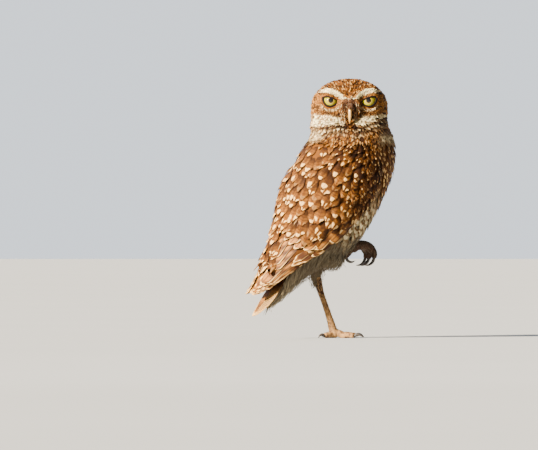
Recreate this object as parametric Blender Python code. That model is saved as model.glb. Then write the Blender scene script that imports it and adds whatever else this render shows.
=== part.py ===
"""Burrowing owl, life size, as a still museum model.

It stands on its left foot with the right foot drawn up against the belly and the head turned back
over the right shoulder. The frame has +Z up and the breast towards -Y, and the origin is under the
standing foot, where the tarsus meets the ground.
"""

import math

import bmesh
import bpy
import numpy as np
from mathutils import Matrix, Vector

# Driving sizes. Tables and comments give millimetres, and MM turns them into Blender's metres.
MM = 0.001
GAP = 0.35  # clearance that neighbouring pieces keep
BODY_STEPS, BODY_SIDES = 26, 32  # facets along and round the body
STAND = (-0.5, 1.9, 0.0)  # the standing foot, in the body's own frame with x = 0 at its middle
HEAD_CENTRE = (0.0, -14.7, 205.6)
HEAD_TURN = -118.0  # degrees, to the bird's right
CHIN_LEVEL = 183.0  # the head meets the neck here
NECK_STATION = 1.7  # the neck meets the torso here
EYE_SIDE, EYE_BACK, EYE_RISE = 16.5, 13.6, 1.5
EYE_RADIUS = 8.5
LID_RADIUS = 9.8
OPENING_RADIUS = 5.9  # of the open eye
LID_RISE, LID_SLANT = 2.7, 18.0  # the upper lid's edge: height over the eye's middle, slant in degrees

# The head round its own centre: height, half width, depth of the face, depth behind.
HEAD_LEVELS = (
    (-30.0, 36.0, 36.0, 36.0), (-22.0, 34.4, 32.6, 33.8), (-14.0, 33.0, 27.0, 30.6),
    (-6.0, 33.4, 25.0, 29.5), (1.0, 32.8, 24.5, 29.0), (6.0, 31.0, 23.5, 27.5),
    (10.5, 27.8, 21.5, 25.0), (14.5, 23.2, 18.0, 21.0), (17.8, 17.2, 13.5, 15.5),
    (20.0, 10.8, 8.5, 9.5), (21.0, 4.5, 3.5, 4.0),
)
HEAD_STEPS, HEAD_SIDES = 19, 40

# The bill's two halves in the head's frame, as points down the middle with a radius at each.
UPPER_BILL = ((0, -17, -1.2), (0, -22.6, -1.8), (0, -27.4, -3.9), (0, -30.4, -7.4),
              (0, -31.6, -11.6), (0, -31.1, -15.2), (0, -29.6, -18.3))
UPPER_BILL_RADII = (4.0, 4.0, 3.8, 3.3, 2.5, 1.5, 0.4)
LOWER_BILL = ((0, -17, -9.0), (0, -22.4, -10.1), (0, -26.4, -11.9), (0, -28.2, -14.3))
LOWER_BILL_RADII = (3.0, 2.8, 2.1, 0.7)
NOSTRIL_SIDE, NOSTRIL_BACK, NOSTRIL_RISE, NOSTRIL_RADIUS = 3.4, -28.1, -4.8, 1.0

# Body rings from the nape to the undertail coverts:
# middle y, middle z, pitch of the body line in degrees, half width, depth to the back and to the breast.
BODY = (
    (-14.2, 198.0, 92, 31.5, 31.0, 31.0),
    (-14.7, 186.0, 92, 33.2, 32.5, 32.8),
    (-16.8, 174.0, 88, 37.5, 36.5, 37.5),
    (-15.5, 160.0, 72, 39.5, 39.0, 40.5),
    (-8.7, 147.0, 62, 40.0, 41.0, 42.5),
    (2.6, 127.0, 60, 39.5, 42.0, 43.5),
    (13.4, 108.5, 58, 38.0, 39.5, 42.0),
    (25.8, 89.0, 56, 33.0, 32.0, 36.5),
    (38.0, 70.0, 55, 24.0, 20.0, 22.5),
    (47.0, 52.0, 54, 15.0, 7.5, 10.0),
    (59.0, 38.0, 53, 8.0, 4.0, 6.0),
    (66.5, 28.5, 52, 2.5, 1.5, 2.5),
)

# Rings of the two folded wings together, from the shoulder to the wing tips, read as BODY is.
WINGS = (
    (-16.0, 167.0, 80, 38.5, 38.0, 38.0),
    (-12.6, 156.0, 68, 42.5, 41.0, 41.0),
    (-3.5, 138.0, 60, 45.0, 44.0, 44.0),
    (8.0, 118.0, 58, 44.5, 44.0, 44.0),
    (20.0, 99.0, 52, 41.0, 39.5, 39.5),
    (33.0, 81.0, 47, 34.5, 33.0, 33.0),
    (47.0, 66.0, 42, 27.0, 26.5, 26.5),
    (61.5, 53.5, 37, 19.5, 18.5, 18.5),
    (74.0, 43.5, 33, 13.0, 11.5, 11.5),
    (84.0, 37.0, 30, 8.5, 5.5, 5.5),
)
# How far inside those rings the wing's core lies, with its outer and its inner face.
CORE_OUTSIDE = (-1.0, -1.0, -1.0, -1.1, -1.8, -2.5, -2.9, -2.6, -2.0, -1.4)
CORE_INSIDE = (-9.0, -9.0, -9.0, -8.5, -7.0, -5.8, -4.8, -4.0, -3.2, -2.4)
CORE_END = 6.5
VANE_SINK = 1.0
VANE_ROOT, VANE_TIP = 0.85, 0.55  # thickness of a feather
VANE_TILT = 0.17
PRIMARIES, SECONDARIES, COVERTS = 6, 7, 7
# Angles round those rings, from the back, where a wing's upper and lower edges lie.
WING_UPPER = (62, 52, 43, 34, 25, 15, 9, 8, 12, 22)
WING_LOWER = (98, 114, 121, 118, 106, 98, 91, 86, 82, 78)

# Both legs in the body's frame, each as points down its middle with a radius at each.
STANDING_THIGH = ((11.5, 5.0, 88.0), (10.8, 7.0, 79.0), (9.4, 11.0, 69.0), (7.4, 14.6, 60.0),
                  (5.8, 15.8, 52.0), (5.0, 14.4, 45.0))
THIGH_RADII = (13.0, 12.5, 10.4, 7.6, 5.6, 3.9)
STANDING_SHANK = ((5.0, 14.4, 49.0), (4.0, 11.6, 40.0), (2.6, 8.0, 29.0), (1.0, 4.6, 17.5),
                  (-0.2, 2.4, 9.0), (-0.5, 1.4, 5.5))
SHANK_RADII = (3.3, 2.7, 2.5, 2.8, 3.4, 3.6)
RAISED_THIGH = ((-13.0, 26.0, 78.0), (-14.0, 17.0, 72.0), (-14.5, 7.0, 69.4), (-14.2, 1.4, 71.4))
RAISED_THIGH_RADII = (13.4, 13.0, 9.8, 5.4)
RAISED_SHANK = ((-14.0, 3.0, 69.5), (-13.8, -3.4, 72.4), (-13.4, -8.0, 76.4), (-13.0, -11.0, 79.0))
RAISED_RADII = (3.0, 2.9, 3.0, 3.4)
CLAW_RADII = (1.45, 1.5, 1.3, 0.85, 0.2)
RAISED_FOOT = (-13.0, -11.8, 79.6)
TAIL_BASE = (0.0, 36.4, 79.8)
TAIL_DROP = math.radians(55)
TAIL_LENGTH = 75.0
TAIL_FEATHERS = 12
TAIL_HALF_WIDTH = 4.7

# The standing foot's toes: heading in degrees from straight ahead towards the bird's left,
# then reaches from the pad, heights and radii along the toe, and the claw's reach.
LONG_TOE = ((0, 5.5, 9.5, 13.5, 17.5, 21.0, 22.4), (5.2, 3.9, 2.4, 2.9, 2.2, 2.4, 2.4),
            (3.6, 3.1, 2.9, 2.4, 2.6, 2.1, 1.5))
SHORT_TOE = ((0, 5, 9, 13, 16.5, 17.8), (5.0, 3.7, 2.4, 2.8, 2.3, 2.3), (3.4, 3.0, 2.8, 2.3, 2.4, 1.5))
HIND_TOE = ((0, 4, 7.5, 10.5, 11.6), (4.6, 3.2, 2.4, 2.4, 2.3), (3.2, 2.8, 2.6, 2.2, 1.5))
STANDING_TOES = (
    ("middle", 3, LONG_TOE, 8.6),
    ("inner", -38, SHORT_TOE, 8.4),
    ("outer", 84, SHORT_TOE, 7.4),
    ("hind", 194, HIND_TOE, 7.2),
)
CLAW_ARCH = 0.7
PAD_BACK, PAD_RISE, PAD_RADIUS = -1.0, 4.2, 4.9

# The raised foot's curled toes as y and z, and the claws beyond them.
CURLED_TOE = ((-11.5, 80.0), (-18.5, 81.6), (-24.6, 79.6), (-28.2, 74.6), (-27.8, 70.0))
CURLED_CLAW = ((-26.2, 66.4), (-22.6, 64.0), (-18.4, 63.6))
CURLED_HIND_TOE = ((-11.0, 79.5), (-6.6, 77.2), (-4.2, 73.6), (-4.8, 70.2))
CURLED_HIND_CLAW = ((-6.8, 67.4), (-10.2, 66.4), (-13.8, 67.6))
CURLED_PAD_RADIUS = 5.3
# Each toe's start to the side of the pad, how far it strays sideways, path, claw and radii.
RAISED_TOES = (
    ("middle", 0.5, 1.0, CURLED_TOE, CURLED_CLAW, (4.5, 4.4, 4.0, 3.4, 1.9)),
    ("inner", 3.0, 5.0, CURLED_TOE, CURLED_CLAW, (4.2, 4.1, 3.7, 3.1, 1.8)),
    ("outer", -3.0, -5.0, CURLED_TOE, CURLED_CLAW, (4.2, 4.1, 3.7, 3.1, 1.8)),
    ("hind", 0.0, 0.8, CURLED_HIND_TOE, CURLED_HIND_CLAW, (4.0, 3.6, 3.1, 1.8)),
)

FEATHER_BROWN = (0.30, 0.17, 0.08)
PALE_BUFF = (0.72, 0.60, 0.44)
TARSUS_TAN = (0.55, 0.40, 0.25)
HORN_DARK = (0.05, 0.04, 0.035)
HORN_PALE = (0.60, 0.55, 0.38)
IRIS_YELLOW = (0.85, 0.72, 0.08)


def clear_scene():
    for obj in list(bpy.data.objects):
        bpy.data.objects.remove(obj, do_unlink=True)


def new_collection(name):
    collection = bpy.data.collections.new(name)
    bpy.context.scene.collection.children.link(collection)
    return collection


def material(name, colour, roughness=0.75, metallic=0.0):
    made = bpy.data.materials.new(name)
    made.use_nodes = True
    shader = made.node_tree.nodes["Principled BSDF"]
    shader.inputs["Base Color"].default_value = (*colour, 1.0)
    shader.inputs["Roughness"].default_value = roughness
    shader.inputs["Metallic"].default_value = metallic
    return made


def smooth_row(rows, station):
    """A table's row at a fractional row number, on a Catmull-Rom curve through the rows."""
    rows = np.asarray(rows, float)
    last = len(rows) - 1
    first = min(max(int(station), 0), last - 1)
    part = station - first
    before, start, end, after = (rows[min(max(first + k, 0), last)] for k in (-1, 0, 1, 2))
    bend = 2 * before - 5 * start + 4 * end - after
    twist = -before + 3 * start - 3 * end + after
    return start + 0.5 * part * (end - before + part * (bend + part * twist))


def form_point(rows, station, angle, side, lift=0.0):
    """A point in mm on a form's rings. The angle runs from the back, 0, to the breast, 180."""
    y, z, pitch, width, back, front = smooth_row(rows, station)
    turn, slope = math.radians(angle), math.radians(pitch)
    depth = back if math.cos(turn) > 0 else front
    outward = Vector((0.0, math.sin(slope), math.cos(slope)))
    middle = Vector((side * (width + lift) * math.sin(turn), y, z))
    return middle + outward * (depth + lift) * math.cos(turn)


def add_ring(bm, centre, across, up, half_across, half_up, half_down, sides):
    """One oval ring in metres, from a circle set on its centre. Returns its edges."""
    ring = bmesh.ops.create_circle(bm, segments=sides, radius=1.0)["verts"]
    for vert in ring:
        step, rise = vert.co.x, vert.co.y
        reach = half_up if rise > 0 else half_down
        vert.co = (centre + across * step * half_across + up * rise * reach) * MM
    inside = set(ring)
    return [e for e in bm.edges if e.verts[0] in inside and e.verts[1] in inside]


def face_outwards(bm):
    bmesh.ops.recalc_face_normals(bm, faces=bm.faces)
    if bm.calc_volume(signed=True) < 0:
        bmesh.ops.reverse_faces(bm, faces=bm.faces)


def close_rings(bm, rings):
    """Joins each ring to the next and caps both ends."""
    for one, other in zip(rings, rings[1:]):
        bmesh.ops.bridge_loops(bm, edges=one + other)
    bmesh.ops.holes_fill(bm, edges=[e for e in bm.edges if e.is_boundary], sides=0)
    face_outwards(bm)


def object_of(name, bm, collection):
    mesh = bpy.data.meshes.new(name)
    bm.to_mesh(mesh)
    bm.free()
    obj = bpy.data.objects.new(name, mesh)
    collection.objects.link(obj)
    return obj


def body_form(rows, grow=0.0):
    """A closed bmesh through all of a form's rings, larger all round by grow."""
    bm = bmesh.new()
    rings = []
    for station in np.linspace(0, len(rows) - 1, BODY_STEPS):
        y, z, pitch, width, back, front = smooth_row(rows, station)
        slope = math.radians(pitch)
        outward = Vector((0.0, math.sin(slope), math.cos(slope)))
        rings.append(add_ring(bm, Vector((0, y, z)), Vector((1, 0, 0)), outward,
                              width + grow, back + grow, front + grow, BODY_SIDES))
    close_rings(bm, rings)
    return bm


def tube(points, radii, sides=10, grow=0.0, flatness=1.0):
    """A bmesh tube through points in mm, with a radius each. A flatness under 1 makes it low and wide."""
    bm = bmesh.new()
    points = [Vector(p) for p in points]
    points[0] -= (points[1] - points[0]).normalized() * grow
    points[-1] += (points[-1] - points[-2]).normalized() * grow
    rings = []
    across = None
    for k, (point, radius) in enumerate(zip(points, radii)):
        along = (points[min(k + 1, len(points) - 1)] - points[max(k - 1, 0)]).normalized()
        if across is None:
            across = along.cross(Vector((0, 0, 1)) if abs(along.z) < 0.9 else Vector((0, 1, 0)))
        across = (across - along * across.dot(along)).normalized()
        reach = radius + grow
        rings.append(add_ring(bm, point, across, across.cross(along), reach,
                              reach * flatness, reach * flatness, sides))
    close_rings(bm, rings)
    return bm


def ball(centre, radius, across=16, along=10, scale=(1, 1, 1), grow=0.0):
    bm = bmesh.new()
    bmesh.ops.create_uvsphere(bm, u_segments=across, v_segments=along, radius=1.0)
    for vert in bm.verts:
        vert.co = Vector(centre) * MM + Vector(
            [c * (radius * s + grow) * MM for c, s in zip(vert.co, scale)])
    return bm


def cut_by_plane(bm, point, normal):
    """Drops what lies on the normal's side of a plane and closes the cut."""
    cut = bmesh.ops.bisect_plane(bm, geom=bm.verts[:] + bm.edges[:] + bm.faces[:],
                                 plane_co=Vector(point) * MM, plane_no=normal, clear_outer=True)
    edges = [g for g in cut["geom_cut"] if isinstance(g, bmesh.types.BMEdge)]
    bmesh.ops.holes_fill(bm, edges=edges, sides=0)
    face_outwards(bm)


def largest_surface(bm):
    """Keeps the closed surface of largest volume, which fills sealed hollows and drops scraps."""
    left, islands = set(bm.faces), []
    while left:
        todo, island = [left.pop()], []
        while todo:
            face = todo.pop()
            island.append(face)
            for edge in face.edges:
                for near in edge.link_faces:
                    if near in left and len(edge.link_faces) == 2:
                        left.remove(near)
                        todo.append(near)
        islands.append(island)
    if len(islands) < 2:
        return

    def volume(island):
        total = 0.0
        for face in island:
            first = face.verts[0].co
            for a, b in zip(face.verts[1:], face.verts[2:]):
                total += first.dot(a.co.cross(b.co))
        return total

    islands.sort(key=volume, reverse=True)
    bmesh.ops.delete(bm, geom=[f for island in islands[1:] for f in island], context="FACES")
    bmesh.ops.delete(bm, geom=[v for v in bm.verts if not v.link_faces], context="VERTS")


def combine(obj, others, operation, solver="EXACT"):
    """Applies one Boolean of a list of closed mesh objects to obj and removes them.

    The exact solver leaves open edges where the wings' many thin vanes meet along near-equal faces, so
    the wings are made with the manifold one.
    """
    group = bpy.data.collections.new(obj.name + "_pieces")
    bpy.context.scene.collection.children.link(group)
    for other in others:
        for home in list(other.users_collection):
            home.objects.unlink(other)
        group.objects.link(other)
    boolean = obj.modifiers.new("combine", "BOOLEAN")
    boolean.operation = operation
    boolean.solver = solver
    boolean.operand_type = "COLLECTION"
    boolean.collection = group
    bpy.context.view_layer.update()
    graph = bpy.context.evaluated_depsgraph_get()
    result = bpy.data.meshes.new_from_object(obj.evaluated_get(graph))
    obj.modifiers.clear()
    old = obj.data
    obj.data = result
    bpy.data.meshes.remove(old)
    for other in others:
        bpy.data.objects.remove(other, do_unlink=True)
    bpy.data.collections.remove(group)
    bm = bmesh.new()
    bm.from_mesh(obj.data)
    largest_surface(bm)
    bm.to_mesh(obj.data)
    bm.free()
    return obj


def finish(obj, finish_material, parent):
    """Gives a node its material, its smooth shading and its place under an empty."""
    obj.data.materials.clear()
    obj.data.materials.append(finish_material)
    obj.data.shade_smooth()
    obj.data.set_sharp_from_angle(angle=math.radians(40))
    obj.parent = parent
    return obj


def station_plane(rows, station):
    y, z, pitch = smooth_row(rows, station)[:3]
    slope = math.radians(pitch)
    return Vector((0, y, z)), Vector((0, -math.cos(slope), math.sin(slope)))


def grown_torso(tools):
    """The torso larger by the gap, which parts its neighbours from it."""
    bm = body_form(BODY, GAP)
    return object_of("torso_cutter", bm, tools)


def torso_and_neck(owl):
    middle, up = station_plane(BODY, NECK_STATION)
    torso = body_form(BODY)
    cut_by_plane(torso, middle - up * GAP / 2, up)
    neck = body_form(BODY)
    cut_by_plane(neck, middle + up * GAP / 2, -up)
    cut_by_plane(neck, Vector((0, 0, CHIN_LEVEL)), Vector((0, 0, 1)))
    return object_of("torso", torso, owl), object_of("neck", neck, owl)


def head_surface():
    """The head round its own centre, the face towards -Y, with brows, eye hollows and cheeks."""
    bm = bmesh.new()
    rings = []
    for height in np.linspace(0, len(HEAD_LEVELS) - 1, HEAD_STEPS):
        rise, width, front, behind = smooth_row(HEAD_LEVELS, height)
        rings.append(add_ring(bm, Vector((0, 0, rise)), Vector((1, 0, 0)), Vector((0, 1, 0)),
                              width, behind, front, HEAD_SIDES))
    close_rings(bm, rings)
    for vert in bm.verts:
        side, back, rise = vert.co / MM
        if back > 0:
            continue
        face = min(1.0, -back / 8.0)
        vert.co.y -= face_relief(abs(side), rise) * face * MM
    return bm


def hump(distance_squared, spread):
    return math.exp(-distance_squared / (2 * spread * spread))


def face_relief(side, rise):
    """How far the face stands out of the plain oval, in mm, at a side and a height from its centre."""
    hollow = hump((side - EYE_SIDE) ** 2 + (rise - EYE_RISE) ** 2, 5.5)
    brow_height = 3.0 + 0.45 * side
    brow = hump((rise - brow_height) ** 2, 2.4) * hump(max(0.0, side - 17) ** 2, 5.0)
    muzzle = hump(side * side, 5.0) * hump((rise + 1.0) ** 2, 6.0)
    chin = hump(side * side, 5.5) * hump((rise + 13.0) ** 2, 4.5)
    cheek = hump((side - 13) ** 2, 6.0) * hump((rise + 13) ** 2, 5.0)
    outer_disc = hump(max(0.0, 24 - side) ** 2, 6.0) * hump((rise + 3) ** 2, 8.0)
    return 2.6 * brow + 1.6 * muzzle + 1.4 * cheek + 2.2 * outer_disc - 2.6 * hollow - 2.6 * chin


def bill_form(upper, grow=0.0):
    """The hooked upper mandible or the short lower one, in head coordinates."""
    path = UPPER_BILL if upper else LOWER_BILL
    radii = UPPER_BILL_RADII if upper else LOWER_BILL_RADII
    return tube(path, radii, 14, grow)


def eye_centre(side):
    return (side * EYE_SIDE, -EYE_BACK, EYE_RISE)


def lid_opening(side):
    """A rod as wide as the open eye, flat along the slanting upper lid."""
    bm = bmesh.new()
    reach = OPENING_RADIUS * MM
    bmesh.ops.create_cone(bm, cap_ends=True, segments=20, radius1=reach, radius2=reach, depth=14 * MM)
    bmesh.ops.rotate(bm, verts=bm.verts, matrix=Matrix.Rotation(math.radians(90), 3, "X"))
    slant = math.radians(LID_SLANT)
    cut_by_plane(bm, Vector((0, 0, LID_RISE)), Vector((-side * math.sin(slant), 0, math.cos(slant))))
    bmesh.ops.rotate(bm, verts=bm.verts, matrix=Matrix.Rotation(math.radians(side * 8), 3, "Z"))
    bmesh.ops.translate(bm, verts=bm.verts, vec=(Vector(eye_centre(side)) + Vector((side, -9, 0))) * MM)
    return bm


def head_parts(owl, tools):
    """Head, lids and sockets, with the eyes and the bill as nodes of their own."""
    head = object_of("head", head_surface(), owl)
    lids = [object_of("lid", ball(eye_centre(side), LID_RADIUS, 20, 14), tools) for side in (1, -1)]
    combine(head, lids, "UNION")
    cutters = []
    for side in (1, -1):
        cutters.append(object_of("socket", ball(eye_centre(side), EYE_RADIUS, 18, 12, grow=GAP), tools))
        cutters.append(object_of("opening", lid_opening(side), tools))
    cutters += [object_of("bill_cutter", bill_form(upper, GAP), tools) for upper in (True, False)]
    combine(head, cutters, "DIFFERENCE")
    bm = bmesh.new()
    bm.from_mesh(head.data)
    cut_by_plane(bm, Vector((0, 0, CHIN_LEVEL + GAP - HEAD_CENTRE[2])), Vector((0, 0, -1)))
    bm.to_mesh(head.data)
    bm.free()
    upper = object_of("bill_upper", bill_form(True), owl)
    nostrils = []
    for side in (1, -1):
        centre = (side * NOSTRIL_SIDE, NOSTRIL_BACK, NOSTRIL_RISE)
        nostrils.append(object_of("nostril", ball(centre, NOSTRIL_RADIUS, 8, 6, (1, 1, 0.8)), tools))
    gape = object_of("gape", bill_form(False, GAP), tools)
    combine(upper, nostrils + [gape], "DIFFERENCE")
    lower = object_of("bill_lower", bill_form(False), owl)
    eyes = [object_of("eye_" + word, ball(eye_centre(side), EYE_RADIUS, 18, 12), owl)
            for word, side in (("left", 1), ("right", -1))]
    return head, upper, lower, eyes


def sheet(across, along, place):
    """A closed thin sheet, triangulated alike on both faces. place(x, v, layer) gives a point in mm for
    x from -1 to 1 across, v from 0 to 1 along, and layer 0 outside or 1 inside."""
    bm = bmesh.new()
    bmesh.ops.create_grid(bm, x_segments=across, y_segments=along, size=1.0)
    bmesh.ops.triangulate(bm, faces=bm.faces[:])
    made = bmesh.ops.extrude_face_region(bm, geom=bm.faces[:])
    inner = [g for g in made["geom"] if isinstance(g, bmesh.types.BMVert)]
    bmesh.ops.translate(bm, verts=inner, vec=(0, 0, 1))
    for vert in bm.verts:
        x, v, layer = vert.co.x, (vert.co.y + 1) / 2, round(vert.co.z)
        vert.co = place(x, v, layer) * MM
    face_outwards(bm)
    return bm


def wing_angle(station, share):
    """The angle round the wing rings at a share of the way from a wing's upper edge to its lower one."""
    upper, lower = smooth_row(WING_UPPER, station), smooth_row(WING_LOWER, station)
    return upper + (lower - upper) * share


def wing_core(side):
    """The arm and hand under the coverts, from the shoulder to past the roots of the flight feathers."""
    def place(x, v, layer):
        station = v * CORE_END
        edge = 2.6 * x ** 6
        lift = smooth_row(CORE_INSIDE, station) if layer else smooth_row(CORE_OUTSIDE, station) - edge
        return form_point(WINGS, station, wing_angle(station, (x + 1) / 2), side, lift)

    return sheet(7, 9, place)


def vane(side, root, tip, half_width, rise):
    """One flat feather along the wing, from root to tip, both as (station, share across).

    It starts sunk in the core and ends as far over the core's line as rise says, tilted so that each
    laps over the next one up.
    """
    def place(x, v, layer):
        blunt = max(0.0, (v - 0.6) / 0.4)
        station = root[0] + (tip[0] - root[0]) * (v - 0.09 * blunt * x * x)
        share = root[1] + (tip[1] - root[1]) * v
        half = half_width * (0.7 + 0.3 * min(1.0, 2.2 * v)) * (1 - 0.5 * blunt ** 2.2)
        width, back = smooth_row(WINGS, station)[3:5]
        angle = wing_angle(station, share) + math.degrees(x * half * 2 / (width + back))
        height = smooth_row(CORE_OUTSIDE, station) - VANE_SINK + (rise + VANE_SINK) * min(1.0, 2.6 * v)
        thickness = VANE_ROOT + (VANE_TIP - VANE_ROOT) * v
        return form_point(WINGS, station, angle, side, height + VANE_TILT * x * half - layer * thickness)

    return sheet(2, 3, place)


def wing_vanes(side):
    """Primaries, secondaries, greater coverts and median coverts, each tier over the one behind it."""
    made = []
    for j in range(PRIMARIES):
        tip = 9.0 - 0.07 * (j - 1.5) ** 2
        made.append(vane(side, (5.5, 0.94 - 0.07 * j), (tip, 0.90 - 0.12 * j), 4.4, 0.1))
    for j in range(SECONDARIES):
        made.append(vane(side, (4.9, 0.88 - 0.11 * j), (8.0 - 0.16 * j, 0.82 - 0.108 * j), 4.6, 0.9))
    for j in range(COVERTS):
        tip = 5.75 + 0.15 * math.sin(j * 0.5)
        made.append(vane(side, (3.7, 0.93 - 0.138 * j), (tip, 0.93 - 0.138 * j), 4.9, 1.0))
    for j in range(COVERTS):
        made.append(vane(side, (2.5, 0.92 - 0.132 * j), (4.35, 0.94 - 0.14 * j), 5.2, 1.1))
    return made


def folded_wing(side, owl, tools):
    name = "wing_left" if side > 0 else "wing_right"
    wing = object_of(name, wing_core(side), owl)
    vanes = [object_of("vane", bm, tools) for bm in wing_vanes(side)]
    combine(wing, vanes, "UNION", "MANIFOLD")
    combine(wing, [grown_torso(tools)], "DIFFERENCE", "MANIFOLD")
    return wing


def tail_feather(j):
    """One tail feather, j counted from the middle pair outwards, with a sign for its side."""
    base, along = Vector(TAIL_BASE), Vector((0, math.cos(TAIL_DROP), -math.sin(TAIL_DROP)))
    top = Vector((0, math.sin(TAIL_DROP), math.cos(TAIL_DROP)))
    length = TAIL_LENGTH - 0.36 * j * j

    def place(x, v, layer):
        blunt = max(0.0, (v - 0.72) / 0.28)
        half = TAIL_HALF_WIDTH * (0.6 + 0.4 * min(1.0, 2 * v)) * (1 - 0.62 * blunt ** 2)
        side = j * (0.75 + 0.62 * v) + x * half
        lift = 2.4 - 0.48 * abs(j) - 0.012 * side * side - layer * 0.8 * (1 - 0.3 * v)
        reach = length * (v - 0.045 * blunt * x * x)
        return base + along * reach + top * lift + Vector((side, 0, 0))

    return sheet(2, 4, place)


def tail_node(owl, tools):
    drop = Vector((0, math.cos(TAIL_DROP), -math.sin(TAIL_DROP)))
    path = [Vector(TAIL_BASE) + drop * reach for reach in (-4, 8, 20, 30)]
    tail = object_of("tail", tube(path, (6.5, 6.0, 4.5, 2.2), 12, flatness=0.5), owl)
    feathers = []
    for number in range(TAIL_FEATHERS):
        feathers.append(object_of("vane", tail_feather(number - (TAIL_FEATHERS - 1) / 2), tools))
    combine(tail, feathers, "UNION")
    combine(tail, [grown_torso(tools)], "DIFFERENCE")
    return tail


def foot_pad():
    return Vector(STAND) + Vector((0, PAD_BACK, 0))


def standing_toe(heading, path, claw_reach):
    """A toe flat on the ground from the foot's pad, and the claw that meets its end."""
    reaches, heights, radii = path
    turn = math.radians(heading)
    ahead = Vector((math.sin(turn), -math.cos(turn), 0))
    pad = foot_pad()
    toe = tube([pad + ahead * r + Vector((0, 0, h)) for r, h in zip(reaches, heights)], radii, 12)
    start, low = reaches[-1] + GAP, heights[-1]
    bend = ((0.0, low), (0.12, low), (0.34, low + CLAW_ARCH), (0.68, low + 0.3 * CLAW_ARCH), (1.0, 0.45))
    claw = tube([pad + ahead * (start + r * claw_reach) + Vector((0, 0, h)) for r, h in bend],
                CLAW_RADII, 10)
    return toe, claw


def standing_foot(owl, tools):
    """The left foot: two toes ahead, the outer toe aside and the hind toe behind, flat underneath."""
    pad = ball(foot_pad() + Vector((0, 0, PAD_RISE)), PAD_RADIUS, 14, 10, (1, 1, 0.95))
    foot = object_of("foot_left", pad, owl)
    pieces, claws = [], []
    for name, heading, path, claw_reach in STANDING_TOES:
        toe, claw = standing_toe(heading, path, claw_reach)
        pieces.append(object_of("toe", toe, tools))
        claws.append(object_of("claw_left_" + name, claw, owl))
    combine(foot, pieces, "UNION")
    combine(foot, [object_of("shank", tube(STANDING_SHANK, SHANK_RADII, 14, GAP), tools)],
            "DIFFERENCE")
    bm = bmesh.new()
    bm.from_mesh(foot.data)
    cut_by_plane(bm, Vector((0, 0, 0)), Vector((0, 0, -1)))
    bm.to_mesh(foot.data)
    bm.free()
    return foot, claws


def clenched_toe(side, spread, path, radii, grow=0.0):
    """A curled toe of the raised foot: side is where it starts and spread how far it strays sideways."""
    steps = len(path) - 1
    points = [Vector((side + spread * k / steps, y, z)) for k, (y, z) in enumerate(path)]
    return tube(points, radii, 12, grow)


def clenched_claw(side, spread, path, claw_path):
    """The claw that meets a curled toe's end and goes on round its curve."""
    end, before = Vector((side + spread, *path[-1])), Vector((side + spread, *path[-2]))
    onward = (end - before).normalized()
    start = end + onward * GAP
    steps = len(claw_path) - 1
    points = [Vector((side + spread * (1.0 + 0.1 * k / steps), y, z)) for k, (y, z) in enumerate(claw_path)]
    return tube([start, start + onward] + points, CLAW_RADII, 10)


def raised_pad(grow=0.0):
    return ball(Vector(RAISED_FOOT), CURLED_PAD_RADIUS, 14, 10, grow=grow)


def raised_toes(tools, grow=0.0):
    toes = []
    for _, start, spread, path, _, radii in RAISED_TOES:
        toe = clenched_toe(RAISED_FOOT[0] + start, spread, path, radii, grow)
        toes.append(object_of("toe", toe, tools))
    return toes


def raised_foot(owl, tools):
    """The right foot, clenched like a fist below the belly."""
    foot = object_of("foot_right", raised_pad(), owl)
    combine(foot, raised_toes(tools), "UNION")
    combine(foot, [object_of("shank", tube(RAISED_SHANK, RAISED_RADII, 14, GAP), tools)], "DIFFERENCE")
    claws = []
    for name, start, spread, path, claw_path, _ in RAISED_TOES:
        claw = clenched_claw(RAISED_FOOT[0] + start, spread, path, claw_path)
        claws.append(object_of("claw_right_" + name, claw, owl))
    return foot, claws


def legs(owl, tools):
    """Feathered thighs and bare shanks of both legs."""
    thigh_left = object_of("thigh_left", tube(STANDING_THIGH, THIGH_RADII, 18), owl)
    shank_left = object_of("tarsus_left", tube(STANDING_SHANK, SHANK_RADII, 14), owl)
    combine(thigh_left, [grown_torso(tools),
                         object_of("shank", tube(STANDING_SHANK, SHANK_RADII, 14, GAP), tools)],
            "DIFFERENCE")
    thigh_right = object_of("thigh_right", tube(RAISED_THIGH, RAISED_THIGH_RADII, 18), owl)
    shank_right = object_of("tarsus_right", tube(RAISED_SHANK, RAISED_RADII, 14), owl)
    combine(thigh_right, [grown_torso(tools),
                          object_of("thigh", tube(STANDING_THIGH, THIGH_RADII, 18, GAP), tools),
                          object_of("shank", tube(RAISED_SHANK, RAISED_RADII, 14, GAP), tools)],
            "DIFFERENCE")
    return thigh_left, shank_left, thigh_right, shank_right


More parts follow.
